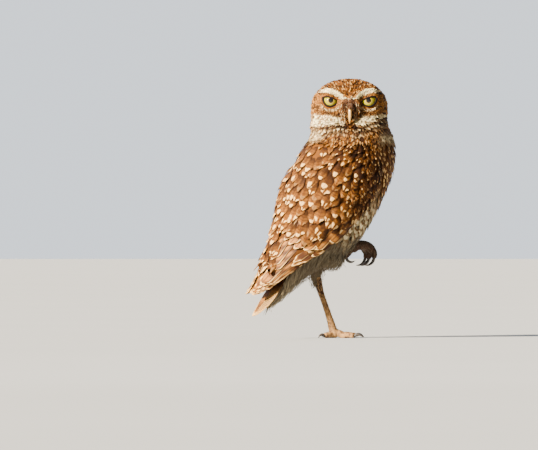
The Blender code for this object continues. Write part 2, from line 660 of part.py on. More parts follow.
def main():
    clear_scene()
    owl = new_collection("burrowing_owl")
    tools = new_collection("cutters")
    body_pivot = bpy.data.objects.new("body_midline", None)
    body_pivot.location = Vector(STAND) * -MM
    head_pivot = bpy.data.objects.new("head_turn", None)
    head_pivot.parent = body_pivot
    head_pivot.location = Vector(HEAD_CENTRE) * MM
    head_pivot.rotation_euler = (0, 0, math.radians(HEAD_TURN))
    for pivot in (body_pivot, head_pivot):
        owl.objects.link(pivot)

    feathers = material("feather_brown", FEATHER_BROWN)
    pale = material("feather_buff", PALE_BUFF)
    tan = material("tarsus_skin", TARSUS_TAN, 0.6)
    dark_horn = material("claw_horn", HORN_DARK, 0.35)
    pale_horn = material("bill_horn", HORN_PALE, 0.4)
    iris = material("eye", IRIS_YELLOW, 0.1)

    torso, neck = torso_and_neck(owl)
    head, bill_upper, bill_lower, eyes = head_parts(owl, tools)
    finish(head, feathers, head_pivot)
    for node in (bill_upper, bill_lower):
        finish(node, pale_horn, head_pivot)
    for node in eyes:
        finish(node, iris, head_pivot)
    wings = [folded_wing(side, owl, tools) for side in (1, -1)]
    tail = tail_node(owl, tools)
    thigh_left, shank_left, thigh_right, shank_right = legs(owl, tools)
    foot_left, left_claws = standing_foot(owl, tools)
    foot_right, right_claws = raised_foot(owl, tools)
    shank_pocket = object_of("pocket", tube(RAISED_SHANK, RAISED_RADII, 14, GAP), tools)
    pad_pocket = object_of("pocket", raised_pad(2 * GAP), tools)
    combine(torso, [shank_pocket, pad_pocket] + raised_toes(tools, 2 * GAP), "DIFFERENCE")
    for node in (torso, neck, *wings, tail):
        finish(node, feathers, body_pivot)
    for node in (thigh_left, thigh_right):
        finish(node, pale, body_pivot)
    for node in (shank_left, shank_right, foot_left, foot_right):
        finish(node, tan, body_pivot)
    for node in left_claws + right_claws:
        finish(node, dark_horn, body_pivot)


main()
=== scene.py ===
"""The looks of a still, life-size burrowing owl: skin, plumage, eyes, bill, legs and claws.

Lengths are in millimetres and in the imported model's frame, until a mesh is made of them.
"""

import math

import bmesh
import bpy
import numpy as np
from bpy.props import FloatProperty, FloatVectorProperty, PointerProperty
from mathutils import Matrix, Vector
from mathutils.bvhtree import BVHTree
from mathutils.kdtree import KDTree


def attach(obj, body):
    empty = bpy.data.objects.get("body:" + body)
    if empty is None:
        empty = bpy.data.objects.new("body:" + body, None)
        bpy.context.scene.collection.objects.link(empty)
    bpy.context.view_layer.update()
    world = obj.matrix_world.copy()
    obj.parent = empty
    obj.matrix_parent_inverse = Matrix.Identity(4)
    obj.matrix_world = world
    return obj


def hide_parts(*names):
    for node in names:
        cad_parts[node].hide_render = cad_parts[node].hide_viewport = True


bl_info = {
    "name": "Burrowing owl",
    "version": (1, 0, 0),
    "blender": (4, 5, 0),
    "location": "3D View > Sidebar > Owl",
    "description": "Skin, plumage, eyes, bill and feet of a still burrowing owl",
    "category": "Object",
}

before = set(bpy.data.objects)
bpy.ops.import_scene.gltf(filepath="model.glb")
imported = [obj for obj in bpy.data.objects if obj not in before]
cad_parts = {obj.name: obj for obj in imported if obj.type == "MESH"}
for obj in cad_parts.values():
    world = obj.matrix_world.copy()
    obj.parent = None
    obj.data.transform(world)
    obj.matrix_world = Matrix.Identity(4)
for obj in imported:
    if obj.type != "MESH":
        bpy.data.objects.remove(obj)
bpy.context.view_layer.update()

MM = 0.001

# Where the body's own frame stands on the floor
STAND = np.array((0.5, -1.9, 0.0))
HEAD_CENTRE = np.array((0.0, -14.7, 205.6)) + STAND
HEAD_TURN = math.radians(-118)
NAPE_LEVEL = -25.0
FLESH = ("torso", "neck", "head", "thigh_left", "thigh_right")

# Rows of the body and of the folded wings: middle y, middle z, pitch in degrees,
# half width, depth to the back, depth to the breast
BODY = (
    (-14.2, 198.0, 92, 31.5, 31.0, 31.0),
    (-14.7, 186.0, 92, 33.2, 32.5, 32.8),
    (-16.8, 174.0, 88, 37.5, 36.5, 37.5),
    (-15.5, 160.0, 72, 39.5, 39.0, 40.5),
    (-8.7, 147.0, 62, 40.0, 41.0, 42.5),
    (2.6, 127.0, 60, 39.5, 42.0, 43.5),
    (13.4, 108.5, 58, 38.0, 39.5, 42.0),
    (25.8, 89.0, 56, 33.0, 32.0, 36.5),
    (38.0, 70.0, 55, 24.0, 20.0, 22.5),
    (47.0, 52.0, 54, 15.0, 7.5, 10.0),
    (59.0, 38.0, 53, 8.0, 4.0, 6.0),
    (66.5, 28.5, 52, 2.5, 1.5, 2.5),
)
WINGS = (
    (-16.0, 167.0, 80, 38.5, 38.0, 38.0),
    (-12.6, 156.0, 68, 42.5, 41.0, 41.0),
    (-3.5, 138.0, 60, 45.0, 44.0, 44.0),
    (8.0, 118.0, 58, 44.5, 44.0, 44.0),
    (20.0, 99.0, 52, 41.0, 39.5, 39.5),
    (33.0, 81.0, 47, 34.5, 33.0, 33.0),
    (47.0, 66.0, 42, 27.0, 26.5, 26.5),
    (61.5, 53.5, 37, 19.5, 18.5, 18.5),
    (74.0, 43.5, 33, 13.0, 11.5, 11.5),
    (84.0, 37.0, 30, 8.5, 5.5, 5.5),
)
WING_LIFT = (-1.0, -1.0, -1.0, -1.1, -1.8, -2.5, -2.9, -2.6, -2.0, -1.4)
WING_UPPER = (62, 52, 43, 34, 25, 15, 9, 8, 12, 22)
WING_LOWER = (98, 114, 121, 118, 106, 98, 91, 86, 82, 78)
BED_END = 7.0
ROOF_START, ROOF_END = 2.2, 6.9
SCATTER_END = 4.7
# Where the breast and belly start round each row of the body, in degrees from the back
BREAST_ROWS, BREAST_ANGLES = (0, 3, 4.5, 6, 7.5), (96, 96, 88, 66, 52)
# The beds under the wings' coverts: their depth for the wing and for the coat, thickness and grid
BED_DEPTH, BED_COAT_DEPTH, BED_THICKNESS = 2.6, 0.1, 2.2
BED_COLUMNS, BED_ROWS = 24, 44
# The rump between the wings, over the tail's root
RUMP_HALF, RUMP_LIFT, RUMP_HIGHEST = 14.0, 8.0, 90.0
RUMP_TOP = np.array((0.0, 0.82, 0.57))
# The painted shade in the fold of the turned neck, as its rightward reach in the camera's view and its
# height
NECK_FOLD_SHADE = ((31.0, 184.0), (19.4, 157.0))

# The tail's root, drop and length, and the ways along it, out of its top and across
TAIL_BASE = np.array((0.0, 36.4, 79.8)) + STAND
TAIL_DROP = math.radians(55)
TAIL_LENGTH = 75.0
TAIL_FALL = np.array((0.0, math.cos(TAIL_DROP), -math.sin(TAIL_DROP)))
TAIL_TOP = np.array((0.0, math.sin(TAIL_DROP), math.cos(TAIL_DROP)))
ACROSS = np.array((1.0, 0.0, 0.0))

# Eyes, in the head's frame: the face looks along -Y
EYE_SIDE, EYE_BACK, EYE_RISE = 16.5, -13.6, 1.5
EYE_RADIUS = 8.5
PUPIL_RADIUS = 2.35
IRIS_RADIUS, IRIS_RISE = 6.7, 0.5
CORNEA_BULGE, CORNEA_RADIUS = 0.55, 5.5
# The lids' edge about the eye's middle: outwards, up
EYE_OPENING = (
    (5.9, 2.7), (3.1, 3.1), (0.7, 2.5), (-2.8, 1.2), (-6.2, -0.2), (-4.2, -2.2),
    (-1.8, -3.5), (0.8, -3.9), (3.4, -3.1), (5.2, -1.2), (6.1, 1.0),
)
# Rings of a lid from its opening outwards: offset, distance from the eye's middle, or 0 on the
# face, and how much each is of the dark rim
LID_RINGS = (
    (-0.15, 8.35, 1), (0.0, 9.2, 1), (0.35, 9.6, 1), (0.85, 9.8, 1), (1.3, 9.75, 0.9),
    (2.2, 0, 0.0), (3.4, 0, 0.0),
)
LID_STEPS = 64
LID_THICKNESS = 0.35

# Markings of the face: the brow's lower and upper edge at each distance from the middle, and the
# collar's height at each place from the bird's left to its right
BROW_SIDES = (0, 4, 6.4, 9.9, 14.6, 19, 24)
BROW_LOW = (1.2, 1.4, 1.8, 3.6, 6.4, 8.8, 9.2)
BROW_HIGH = (3.4, 4.4, 6.2, 8.8, 11.6, 12.8, 11.6)
COLLAR_SIDES = (-30, -22, -14, -6, 0, 8, 14, 18, 24, 30)
COLLAR_RISES = (-11.5, -14.0, -17.6, -20.6, -21.2, -18.0, -18.0, -19.4, -20.6, -18.6)

# The bill's two centre lines in the head's frame, with radii
UPPER_BILL = (
    (0, -17.0, -1.2, 3.9), (0, -22.6, -1.8, 3.9), (0, -27.4, -3.9, 3.7), (0, -30.4, -7.4, 3.2),
    (0, -31.6, -11.6, 2.4), (0, -31.1, -15.2, 1.45), (0, -29.6, -18.3, 0.35),
)
LOWER_BILL = (
    (0, -17.0, -9.0, 2.9), (0, -22.4, -10.1, 2.7), (0, -26.4, -11.9, 2.0), (0, -28.2, -14.3, 0.6),
)
NOSTRIL, NOSTRIL_DEPTH = (3.2, -28.1, -4.8), 0.9

# Legs in the body's own frame: x, y, z, radius
STANDING_SHANK = (
    (5.4, 15.0, 53.0, 3.9), (4.0, 11.6, 40.0, 2.7), (2.6, 8.0, 29.0, 2.5), (1.0, 4.6, 17.5, 2.8),
    (-0.2, 2.4, 9.0, 3.4), (-0.5, 1.4, 5.0, 3.6),
)
RAISED_SHANK = (
    (-14.0, 4.6, 69.0, 3.2), (-13.8, -3.4, 72.4, 2.9), (-13.4, -8.0, 76.4, 3.0),
    (-13.0, -11.0, 79.0, 3.4),
)
# Standing toes: heading in degrees from -Y towards +X, reaches, heights, radii, claw's length
STANDING_TOES = {
    "middle": (3, (0, 5.5, 9.5, 13.5, 17.5, 21, 22.4), (5.2, 3.9, 2.4, 2.9, 2.2, 2.4, 2.4),
               (3.6, 3.1, 2.9, 2.4, 2.6, 2.1, 1.5), 8.6),
    "inner": (-38, (0, 5, 9, 13, 16.5, 17.8), (5, 3.7, 2.4, 2.8, 2.3, 2.3),
              (3.4, 3, 2.8, 2.3, 2.4, 1.5), 8.4),
    "outer": (84, (0, 5, 9, 13, 16.5, 17.8), (5, 3.7, 2.4, 2.8, 2.3, 2.3),
              (3.4, 3, 2.8, 2.3, 2.4, 1.5), 7.4),
    "hind": (194, (0, 4, 7.5, 10.5, 11.6), (4.6, 3.2, 2.4, 2.4, 2.3),
             (3.2, 2.8, 2.6, 2.2, 1.5), 7.2),
}
STANDING_PAD = np.array((-0.5, 0.9, 0.0))
RAISED_FRONT = ((-11.5, 80.0), (-18.5, 81.6), (-24.6, 79.6), (-28.2, 74.6), (-27.8, 70.0))
RAISED_HIND = ((-11.0, 79.5), (-6.6, 77.2), (-4.2, 73.6), (-4.8, 70.2))
RAISED_FRONT_CLAW = ((-27.8, 70.0), (-26.2, 66.4), (-22.6, 64.0), (-18.4, 63.6))
RAISED_HIND_CLAW = ((-4.8, 70.2), (-6.8, 67.4), (-10.2, 66.4), (-13.8, 67.6))
# Raised toes: x at the root and its spread towards the tip
RAISED_TOES = {
    "middle": (-12.5, 1.0), "inner": (-10.0, 5.0), "outer": (-16.0, -5.0), "hind": (-13.0, 0.8),
}

# The camera of the photo: 0.875 mm a pixel, its middle, its direction and distance
PIXEL = 0.875
PHOTO_SIZE = (538, 450)
FOOT_PIXEL = (333, 338)
CAMERA_TURN = math.radians(-118)
CAMERA_AWAY = 6.0
SENSOR = 36.0
# The photo's right and the way to its camera, as the plumage uses them
RIGHTWARD = np.array((-0.469, -0.883, 0.0))
CAMERAWARD = np.array((-0.883, 0.469, 0.0))

# Lights, placed by shares of the photo's right, of the way to its camera and of up: the sun's
# way, strength, spread in degrees and colour
SUN_WAY, SUN_STRENGTH, SUN_SPREAD, SUN_COLOUR = (-0.78, 0.57, 0.38), 32.0, 9.0, (1.0, 0.86, 0.66)
# Each lamp's way, distance, power, size and colour
LAMPS = {
    "catch": ((-0.10, 0.97, 0.24), 1.8, 1.2, 0.12, (1.0, 1.0, 1.0)),
    "fill": ((0.75, -0.5, 0.6), 2.4, 4.5, 1.8, (0.86, 0.92, 1.0)),
}
LAMP_AIM = (0.0, 0.0, 0.13)
SKY_COLOUR = (0.82, 0.88, 0.95, 1.0)
SKY_RANGE = {"From Min": 0.0, "From Max": 0.95, "To Min": 0.20, "To Max": 1.45}
FLOOR_RADIUS = 14000.0
FLOOR_TONES = (0.40, 0.415, 0.43, 1.0), (0.43, 0.445, 0.46, 1.0)

# Fixed colours of the eyes, lids and claws
IRIS_RIM, IRIS_INNER = (0.30, 0.16, 0.01, 1.0), (0.45, 0.28, 0.02, 1.0)
PUPIL_BLACK, LID_RIM = (0.004, 0.004, 0.005, 1.0), (0.008, 0.005, 0.004, 1.0)
CLAW_PALE, CLAW_DARK = (0.05, 0.04, 0.035), (0.01, 0.009, 0.008)
# Painted shade: the raised foot's skin and bristles are darkened beside the standing one's, for the body's
# shadow on it
RAISED_SHADE_TONE, RAISED_BRISTLE_SHADE_TONE = 0.14, 0.15

# Voxel size in mm and rounds of smoothing of each closed skin
SKIN_MESH, COAT_MESH, LEG_MESH = (1.15, 3), (1.6, 10), (0.42, 2)
# Gap in mm between locks of down and between the legs' bristles, and the lowest of each
DOWN_GAP, DOWN_LOWEST = 1.75, 26.0
BRISTLE_GAP, BRISTLE_LOWEST = 0.95, 3.0
# How many hang loose under the tail, in how many tufts, and how many stand beside the bill
VENT_LOCKS, VENT_TUFTS = 900, 70
BILL_BRISTLES = 520

# Seeds of the random draws: of the places, then of the feathers on them
BODY_SEEDS, HEAD_SEEDS, DOWN_SEEDS, LEG_SEEDS = (11, 12), (21, 22), (51, 52), (71, 72)
WING_SEED, TAIL_SEED, BRISTLE_SEED, MUZZLE_SEED = 31, 41, 61, 63

shared = {}


# Colours as the brush has them, in linear light
class OwlColours(bpy.types.PropertyGroup):
    """Colours of the plumage and of the bare parts"""

    brown: FloatVectorProperty(
        name="Brown", description="Ground colour of the back", subtype="COLOR",
        default=(0.150, 0.049, 0.004), min=0.0, max=1.0,
    )
    dark: FloatVectorProperty(
        name="Dark brown", description="Edges, bars and streaks", subtype="COLOR",
        default=(0.024, 0.007, 0.002), min=0.0, max=1.0,
    )
    spot: FloatVectorProperty(
        name="Spots", description="Pale spots on the back", subtype="COLOR",
        default=(0.82, 0.50, 0.185), min=0.0, max=1.0,
    )
    cream: FloatVectorProperty(
        name="Cream", description="Cheeks, brows and belly", subtype="COLOR",
        default=(0.98, 0.78, 0.44), min=0.0, max=1.0,
    )
    buff: FloatVectorProperty(
        name="Buff", description="Flight feathers' bars and the tail", subtype="COLOR",
        default=(0.37, 0.15, 0.025), min=0.0, max=1.0,
    )
    down: FloatVectorProperty(
        name="Down", description="Loose feathers about the legs", subtype="COLOR",
        default=(0.19, 0.15, 0.092), min=0.0, max=1.0,
    )
    iris: FloatVectorProperty(
        name="Iris", description="The eyes' yellow", subtype="COLOR",
        default=(0.24, 0.21, 0.0), min=0.0, max=1.0,
    )
    horn: FloatVectorProperty(
        name="Horn", description="The bill's ridge", subtype="COLOR",
        default=(0.52, 0.30, 0.085), min=0.0, max=1.0,
    )
    leg: FloatVectorProperty(
        name="Leg", description="Skin of the tarsus and toes", subtype="COLOR",
        default=(0.34, 0.185, 0.065), min=0.0, max=1.0,
    )


class OwlSizes(bpy.types.PropertyGroup):
    """Sizes of the plumage"""

    coat: FloatProperty(
        name="Coat depth", description="How deep the skin lies under the feathers' tips, in mm",
        default=1.7, min=0.4, max=4.0,
    )
    back_feather: FloatProperty(
        name="Back feather", description="Length of a feather of the back, in mm",
        default=16.6, min=6.0, max=30.0,
    )
    crown_feather: FloatProperty(
        name="Crown feather", description="Length of a feather of the crown, in mm",
        default=5.3, min=2.0, max=12.0,
    )
    down_lock: FloatProperty(
        name="Down", description="Length of the loose feathers about the legs, in mm",
        default=11.0, min=4.0, max=24.0,
    )


# Surfaces of the body

def curve_between(before, start, end, after, part):
    """Points between start and end on a smooth curve through all four."""
    bend = 2 * before - 5 * start + 4 * end - after
    twist = -before + 3 * start - 3 * end + after
    return start + 0.5 * part * (end - before + part * (bend + part * twist))


def smooth_rows(rows, station):
    """A row of the table at each station, on a smooth curve through the rows."""
    rows = np.asarray(rows, float)
    if rows.ndim == 1:
        rows = rows[:, None]
    last = len(rows) - 1
    station = np.clip(np.asarray(station, float), 0, last)
    first = np.minimum(station.astype(int), last - 1)
    part = (station - first)[..., None]
    before, after = rows[np.maximum(first - 1, 0)], rows[np.minimum(first + 2, last)]
    return curve_between(before, rows[first], rows[first + 1], after, part)


def form_points(rows, station, angle, side, lift):
    """Points on the form that the rows describe: 0 degrees is the back, 180 the breast."""
    station, angle, lift = np.broadcast_arrays(station, angle, lift)
    row = smooth_rows(rows, station)
    pitch = np.radians(row[..., 2])
    turn = np.radians(angle)
    depth = np.where(np.cos(turn) > 0, row[..., 4], row[..., 5])
    radial = (depth + lift) * np.cos(turn)
    across = side * (row[..., 3] + lift) * np.sin(turn)
    points = (across, row[..., 0] + np.sin(pitch) * radial, row[..., 1] + np.cos(pitch) * radial)
    return np.stack(points, axis=-1) + STAND


def wing_edges(station):
    """The angles of the folded wing's upper and lower edge, and its lift off the form."""
    return (smooth_rows(table, station)[..., 0] for table in (WING_UPPER, WING_LOWER, WING_LIFT))


def wing_points(station, share, side, lift=0.0):
    """Points on the folded wing: share 0 is its upper edge, 1 its lower one."""
    upper, lower, bed = wing_edges(station)
    return form_points(WINGS, station, upper + (lower - upper) * share, side, bed + lift)


def turn_z(points, angle):
    """Points turned about the vertical axis."""
    cos, sin = math.cos(angle), math.sin(angle)
    matrix = np.array(((cos, -sin, 0), (sin, cos, 0), (0, 0, 1)))
    return np.asarray(points, float) @ matrix.T


def to_head(points):
    """The head's own frame, where the face looks along -Y."""
    return turn_z(np.asarray(points, float) - HEAD_CENTRE, -HEAD_TURN)


def from_head(points):
    return turn_z(points, HEAD_TURN) + HEAD_CENTRE


def soft_step(low, high, value):
    """0 below low, 1 above high, and smooth between."""
    part = np.clip((np.asarray(value, float) - low) / (high - low), 0, 1)
    return part * part * (3 - 2 * part)


def bell(value, middle, width):
    return np.exp(-((np.asarray(value, float) - middle) / width) ** 2)


def unit(vectors):
    length = np.linalg.norm(vectors, axis=-1, keepdims=True)
    return vectors / np.maximum(length, 1e-9)


def columns(count, *parts):
    """Numbers and lists of numbers side by side, as rows."""
    return np.stack([np.broadcast_to(np.asarray(part, float), (count,)) for part in parts], axis=-1)


def eye_middles(local, depth):
    """The middle of the eye on each point's own side of the head."""
    return columns(len(local), np.sign(local[:, 0]) * EYE_SIDE, depth, EYE_RISE)


def breast_edge(row):
    return np.interp(row, BREAST_ROWS, BREAST_ANGLES)


# Meshes

def mesh_arrays(mesh):
    """A mesh's points in mm, its triangles and its points' normals."""
    points = np.empty(len(mesh.vertices) * 3)
    mesh.vertices.foreach_get("co", points)
    normals = np.empty(len(mesh.vertices) * 3)
    mesh.vertex_normals.foreach_get("vector", normals)
    mesh.calc_loop_triangles()
    triangles = np.empty(len(mesh.loop_triangles) * 3, np.int32)
    mesh.loop_triangles.foreach_get("vertices", triangles)
    return points.reshape(-1, 3) / MM, triangles.reshape(-1, 3), normals.reshape(-1, 3)


def tree_of(points, triangles):
    return BVHTree.FromPolygons(points.tolist(), triangles.tolist(), all_triangles=True)


def balanced(points):
    """A tree that finds points by their places, numbered in order."""
    tree = KDTree(len(points))
    for index, point in enumerate(points.tolist()):
        tree.insert(point, index)
    tree.balance()
    return tree


def cast_back(tree, local):
    """Where points in the head's own frame meet a surface on their way back, or themselves."""
    back = turn_z(np.array((0.0, 1.0, 0.0)), HEAD_TURN).tolist()
    found = []
    for point in from_head(local).tolist():
        place, _, _, _ = tree.ray_cast(point, back)
        found.append(point if place is None else tuple(place))
    return np.array(found)


def write_layer(mesh, name, values):
    """Writes a colour or a number of every point as an attribute."""
    values = np.asarray(values, np.float32)
    if values.ndim == 1:
        mesh.attributes.new(name, "FLOAT", "POINT").data.foreach_set("value", values)
    else:
        full = np.ones((len(mesh.vertices), 4), np.float32)
        full[:, :values.shape[-1]] = values
        mesh.attributes.new(name, "FLOAT_COLOR", "POINT").data.foreach_set("color", full.ravel())


def nearest(tree, points, limit=14.0):
    """The nearest point and normal of a surface for each point, or the point itself if none is near."""
    flat = points.reshape(-1, 3)
    found = flat.copy()
    normals = np.zeros_like(flat)
    for index, point in enumerate(flat.tolist()):
        place, normal, _, away = tree.find_nearest(point)
        if place is not None:
            normals[index] = normal
            if away < limit:
                found[index] = place
    return found.reshape(points.shape), normals.reshape(points.shape)


def object_from(name, data):
    """An object of a mesh, light or camera, in the scene."""
    obj = bpy.data.objects.new(name, data)
    bpy.context.scene.collection.objects.link(obj)
    return obj


def object_from_bmesh(name, shape, smooth=60):
    """Writes a bmesh in mm as an object in metres."""
    bmesh.ops.scale(shape, vec=(MM, MM, MM), verts=shape.verts)
    mesh = bpy.data.meshes.new(name)
    shape.to_mesh(mesh)
    shape.free()
    mesh.shade_smooth()
    mesh.set_sharp_from_angle(angle=math.radians(smooth))
    return object_from(name, mesh)


def remeshed(name, shape, voxel, rounds):
    """One closed skin round all the closed shapes of a bmesh, smoothed."""
    source = object_from_bmesh(name + "_source", shape)
    modifier = source.modifiers.new("Skin", "REMESH")
    modifier.mode = "VOXEL"
    modifier.voxel_size = voxel * MM
    graph = bpy.context.evaluated_depsgraph_get()
    mesh = bpy.data.meshes.new_from_object(source.evaluated_get(graph))
    bpy.data.objects.remove(source)
    smoothed = bmesh.new()
    smoothed.from_mesh(mesh)
    for _ in range(rounds):
        bmesh.ops.smooth_vert(
            smoothed, verts=smoothed.verts, factor=0.5,
            use_axis_x=True, use_axis_y=True, use_axis_z=True,
        )
    bmesh.ops.recalc_face_normals(smoothed, faces=smoothed.faces)
    smoothed.to_mesh(mesh)
    smoothed.free()
    mesh.shade_smooth()
    return mesh


def add_ring(shape, points):
    verts = [shape.verts.new(tuple(point)) for point in points]
    return [shape.edges.new((verts[i], verts[(i + 1) % len(verts)])) for i in range(len(verts))]


def close_rings(shape, rings, cap=True):
    """Joins rings of edges one after the other, and closes the two ends."""
    for first, second in zip(rings, rings[1:]):
        bmesh.ops.bridge_loops(shape, edges=first + second)
    if cap:
        bmesh.ops.holes_fill(shape, edges=rings[0] + rings[-1], sides=0)
    bmesh.ops.recalc_face_normals(shape, faces=shape.faces)


def tube_rings(path, steps, sides, shape_of=None):
    """Rings of points along a smooth path of x, y, z, radius."""
    stations = np.linspace(0, len(path) - 1, steps)
    rows = smooth_rows(path, stations)
    centres, radii = rows[:, :3], rows[:, 3]
    ways = unit(np.gradient(centres, axis=0))
    level = unit(np.cross(ways, (1.0, 0.13, 0.0)))
    rings = []
    turns = np.arange(sides) * 2 * math.pi / sides
    for step in range(steps):
        up = level[step]
        side = np.cross(ways[step], up)
        scale = np.ones(sides) if shape_of is None else shape_of(stations[step], turns)
        ring = centres[step] + (radii[step] * scale)[:, None] * (
            np.cos(turns)[:, None] * up + np.sin(turns)[:, None] * side
        )
        rings.append(ring)
    return rings


def add_tube(shape, path, steps, sides, shape_of=None, place=None):
    rings = tube_rings(path, steps, sides, shape_of)
    if place is not None:
        rings = [place(ring) for ring in rings]
    close_rings(shape, [add_ring(shape, ring) for ring in rings])


# Feathers

class Vane:
    """One feather's flat pattern, as a thin closed sheet: x across, v along, layer above or below."""

    def __init__(self, columns, rows):
        shape = bmesh.new()
        bmesh.ops.create_grid(shape, x_segments=columns, y_segments=rows, size=1.0)
        bmesh.ops.solidify(shape, geom=shape.faces[:], thickness=1.0)
        bmesh.ops.recalc_face_normals(shape, faces=shape.faces)
        shape.verts.index_update()
        places = np.array([vert.co for vert in shape.verts])
        self.x = np.clip(places[:, 0], -1, 1)
        self.v = np.clip(0.5 + 0.5 * places[:, 1], 0, 1)
        self.layer = np.abs(places[:, 2] - places[:, 2].max())
        self.faces = np.array([[vert.index for vert in face.verts] for face in shape.faces])
        shape.free()


def outline(v, root, blunt_tip, start=0.6):
    """A feather's half width along it, from 0 to 1, with a tip that stays a little wide."""
    blunt = np.clip((v - start) / (1 - start), 0, 1)
    swell = root + (1 - root) * soft_step(0.0, 0.55, v)
    return swell * (1 - (1 - blunt_tip) * blunt ** 2.2), blunt


def laid_feathers(vane, roots, ways, lengths, widths, tree, low, high, cup, tilt=0.0, thick=0.16,
                  root_width=0.45, tip=0.45, pointed=0.2):
    """The points of feathers that follow a surface, rising from their roots to their tips."""
    x, v = vane.x, vane.v
    width, blunt = outline(v, root_width, tip)
    _, normal = nearest(tree, roots)
    ways = unit(ways - (ways * normal).sum(-1, keepdims=True) * normal)
    sides = np.cross(ways, normal)
    along = lengths[:, None] * (v - pointed * blunt * x * x)
    across = 0.5 * widths[:, None] * (x * width)
    flat = roots[:, None] + ways[:, None] * along[..., None] + sides[:, None] * across[..., None]
    touch, up = nearest(tree, flat)
    same = (up * normal[:, None]).sum(-1, keepdims=True) > 0.2
    up = unit(np.where(same, up, normal[:, None]))
    touch = np.where(same, touch, flat)
    low, high, cup, tilt = (np.broadcast_to(np.asarray(a, float), lengths.shape) for a in
                            (low, high, cup, tilt))
    rise = low[:, None] + (high - low)[:, None] * v ** 0.7
    rise = rise - cup[:, None] * x * x * np.minimum(1, 2 * v) + tilt[:, None] * x
    return touch + up * (rise - vane.layer * thick * (1 - 0.5 * v))[..., None]


def feather_object(name, vane, points, colours, marks, unwrap, patch=(0.003, 0.003)):
    """One mesh of many feathers, with the vane's own map, the bake's map and the paint's attributes."""
    count, size = points.shape[:2]
    faces = (vane.faces[None] + (np.arange(count) * size)[:, None, None]).reshape(-1, 4)
    mesh = bpy.data.meshes.new(name)
    mesh.vertices.add(count * size)
    mesh.vertices.foreach_set("co", (points * MM).astype(np.float32).ravel())
    mesh.loops.add(faces.size)
    mesh.loops.foreach_set("vertex_index", faces.ravel().astype(np.int32))
    mesh.polygons.add(len(faces))
    mesh.polygons.foreach_set("loop_start", np.arange(0, faces.size, 4, dtype=np.int32))
    mesh.update(calc_edges=True)
    mesh.validate()
    local = np.stack((0.5 + 0.5 * vane.x, vane.v), axis=-1)
    corner = faces.ravel()
    flat = np.broadcast_to(local, (count, size, 2)).reshape(-1, 2)[corner]
    bake = (unwrap[:, None] + (local - 0.5) * np.asarray(patch)).reshape(-1, 2)[corner]
    for label, values in (("Vane", flat), ("OFBake", np.clip(bake, 0, 1))):
        layer = mesh.uv_layers.new(name=label)
        layer.data.foreach_set("uv", values.astype(np.float32).ravel())
    for label, values in (("Plumage", colours), ("Marks", marks)):
        write_layer(mesh, label, np.repeat(values, size, axis=0))
    mesh.shade_smooth()
    mesh.set_sharp_from_angle(angle=math.radians(55))
    return object_from(name, mesh)


def strip_map(count):
    """Middles of feathers laid side by side over the bake's map, and the size of each there."""
    return {"unwrap": columns(count, (np.arange(count) + 0.5) / count, 0.5),
            "patch": (0.9 / count, 0.9)}


def hairs(vane, roots, ways, sides, lengths, half, curl, thick=0.12):
    """The points of free hairs, half their width given along them, that curl off their own line."""
    tops = np.cross(sides, ways)
    points = roots[:, None] + ways[:, None] * (lengths[:, None] * vane.v)[..., None]
    points = points + sides[:, None] * (vane.x * half)[None, :, None]
    return points + tops[:, None] * (curl + vane.layer * thick)[..., None]


def keep(obj, paint, slot, *nodes):
    obj.data.materials.append(paint)
    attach(obj, "root")
    if nodes:
        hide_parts(*nodes)
    return obj


def scattered(surface, spacing, wanted, seed):
    """Evenly spread places on a surface, as far apart as spacing says at each."""
    points, triangles, normals = surface
    draw = np.random.default_rng(seed)
    corners = points[triangles]
    middles = corners.mean(1)
    areas = 0.5 * np.linalg.norm(np.cross(corners[:, 1] - corners[:, 0], corners[:, 2] - corners[:, 0]),
                                 axis=1)
    gaps = spacing(middles)
    weights = np.where(wanted(middles, normals[triangles].mean(1)), areas / gaps ** 2, 0)
    total = int(9 * weights.sum())
    chosen = draw.choice(len(triangles), total, p=weights / weights.sum())
    share = draw.random((total, 2))
    fold = share.sum(1) > 1
    share[fold] = 1 - share[fold]
    picked = corners[chosen]
    places = picked[:, 0] + share[:, :1] * (picked[:, 1] - picked[:, 0])
    places = places + share[:, 1:] * (picked[:, 2] - picked[:, 0])
    gaps = gaps[chosen]
    tree = balanced(places)
    free = np.ones(total, bool)
    kept = []
    for index in range(total):
        if not free[index]:
            continue
        kept.append(index)
        for _, other, _ in tree.find_range(places[index].tolist(), gaps[index]):
            free[other] = False
    kept = np.array(kept)
    return places[kept], unit(normals[triangles[chosen[kept]]].mean(1))


def station_table(rows, angles, step=0.1, side_of=None):
    """A tree that finds the station and the angle of the form nearest to a point."""
    stations = np.arange(0, len(rows) - 1 + step / 2, step)
    grid = np.array([(s, a) for s in stations for a in angles])
    if side_of is None:
        points = form_points(rows, grid[:, 0], grid[:, 1], 1, 0.0)
    else:
        points = wing_points(grid[:, 0], grid[:, 1], side_of)
    return balanced(points), grid


def looked_up(table, points):
    """Station, angle and distance of the nearest entry for each point."""
    tree, grid = table
    found = [tree.find(point)[1:] for point in points.tolist()]
    index = np.array([row[0] for row in found])
    return grid[index, 0], grid[index, 1], np.array([row[1] for row in found])


# Markings, the same for the skin and for the feathers

def tones(colours, *names):
    """Colours as arrays, so that sums on them can be written as sums."""
    return [np.array(getattr(colours, name)) for name in names]


def varied(draw, tone, count, least, most):
    """The same colour for a number of feathers, made lighter or darker by chance."""
    return np.tile(tone, (count, 1)) * draw.uniform(least, most, (count, 1))


def blend_to(base, colour, amount):
    amount = np.asarray(amount)[..., None]
    return base * (1 - amount) + np.asarray(colour) * amount


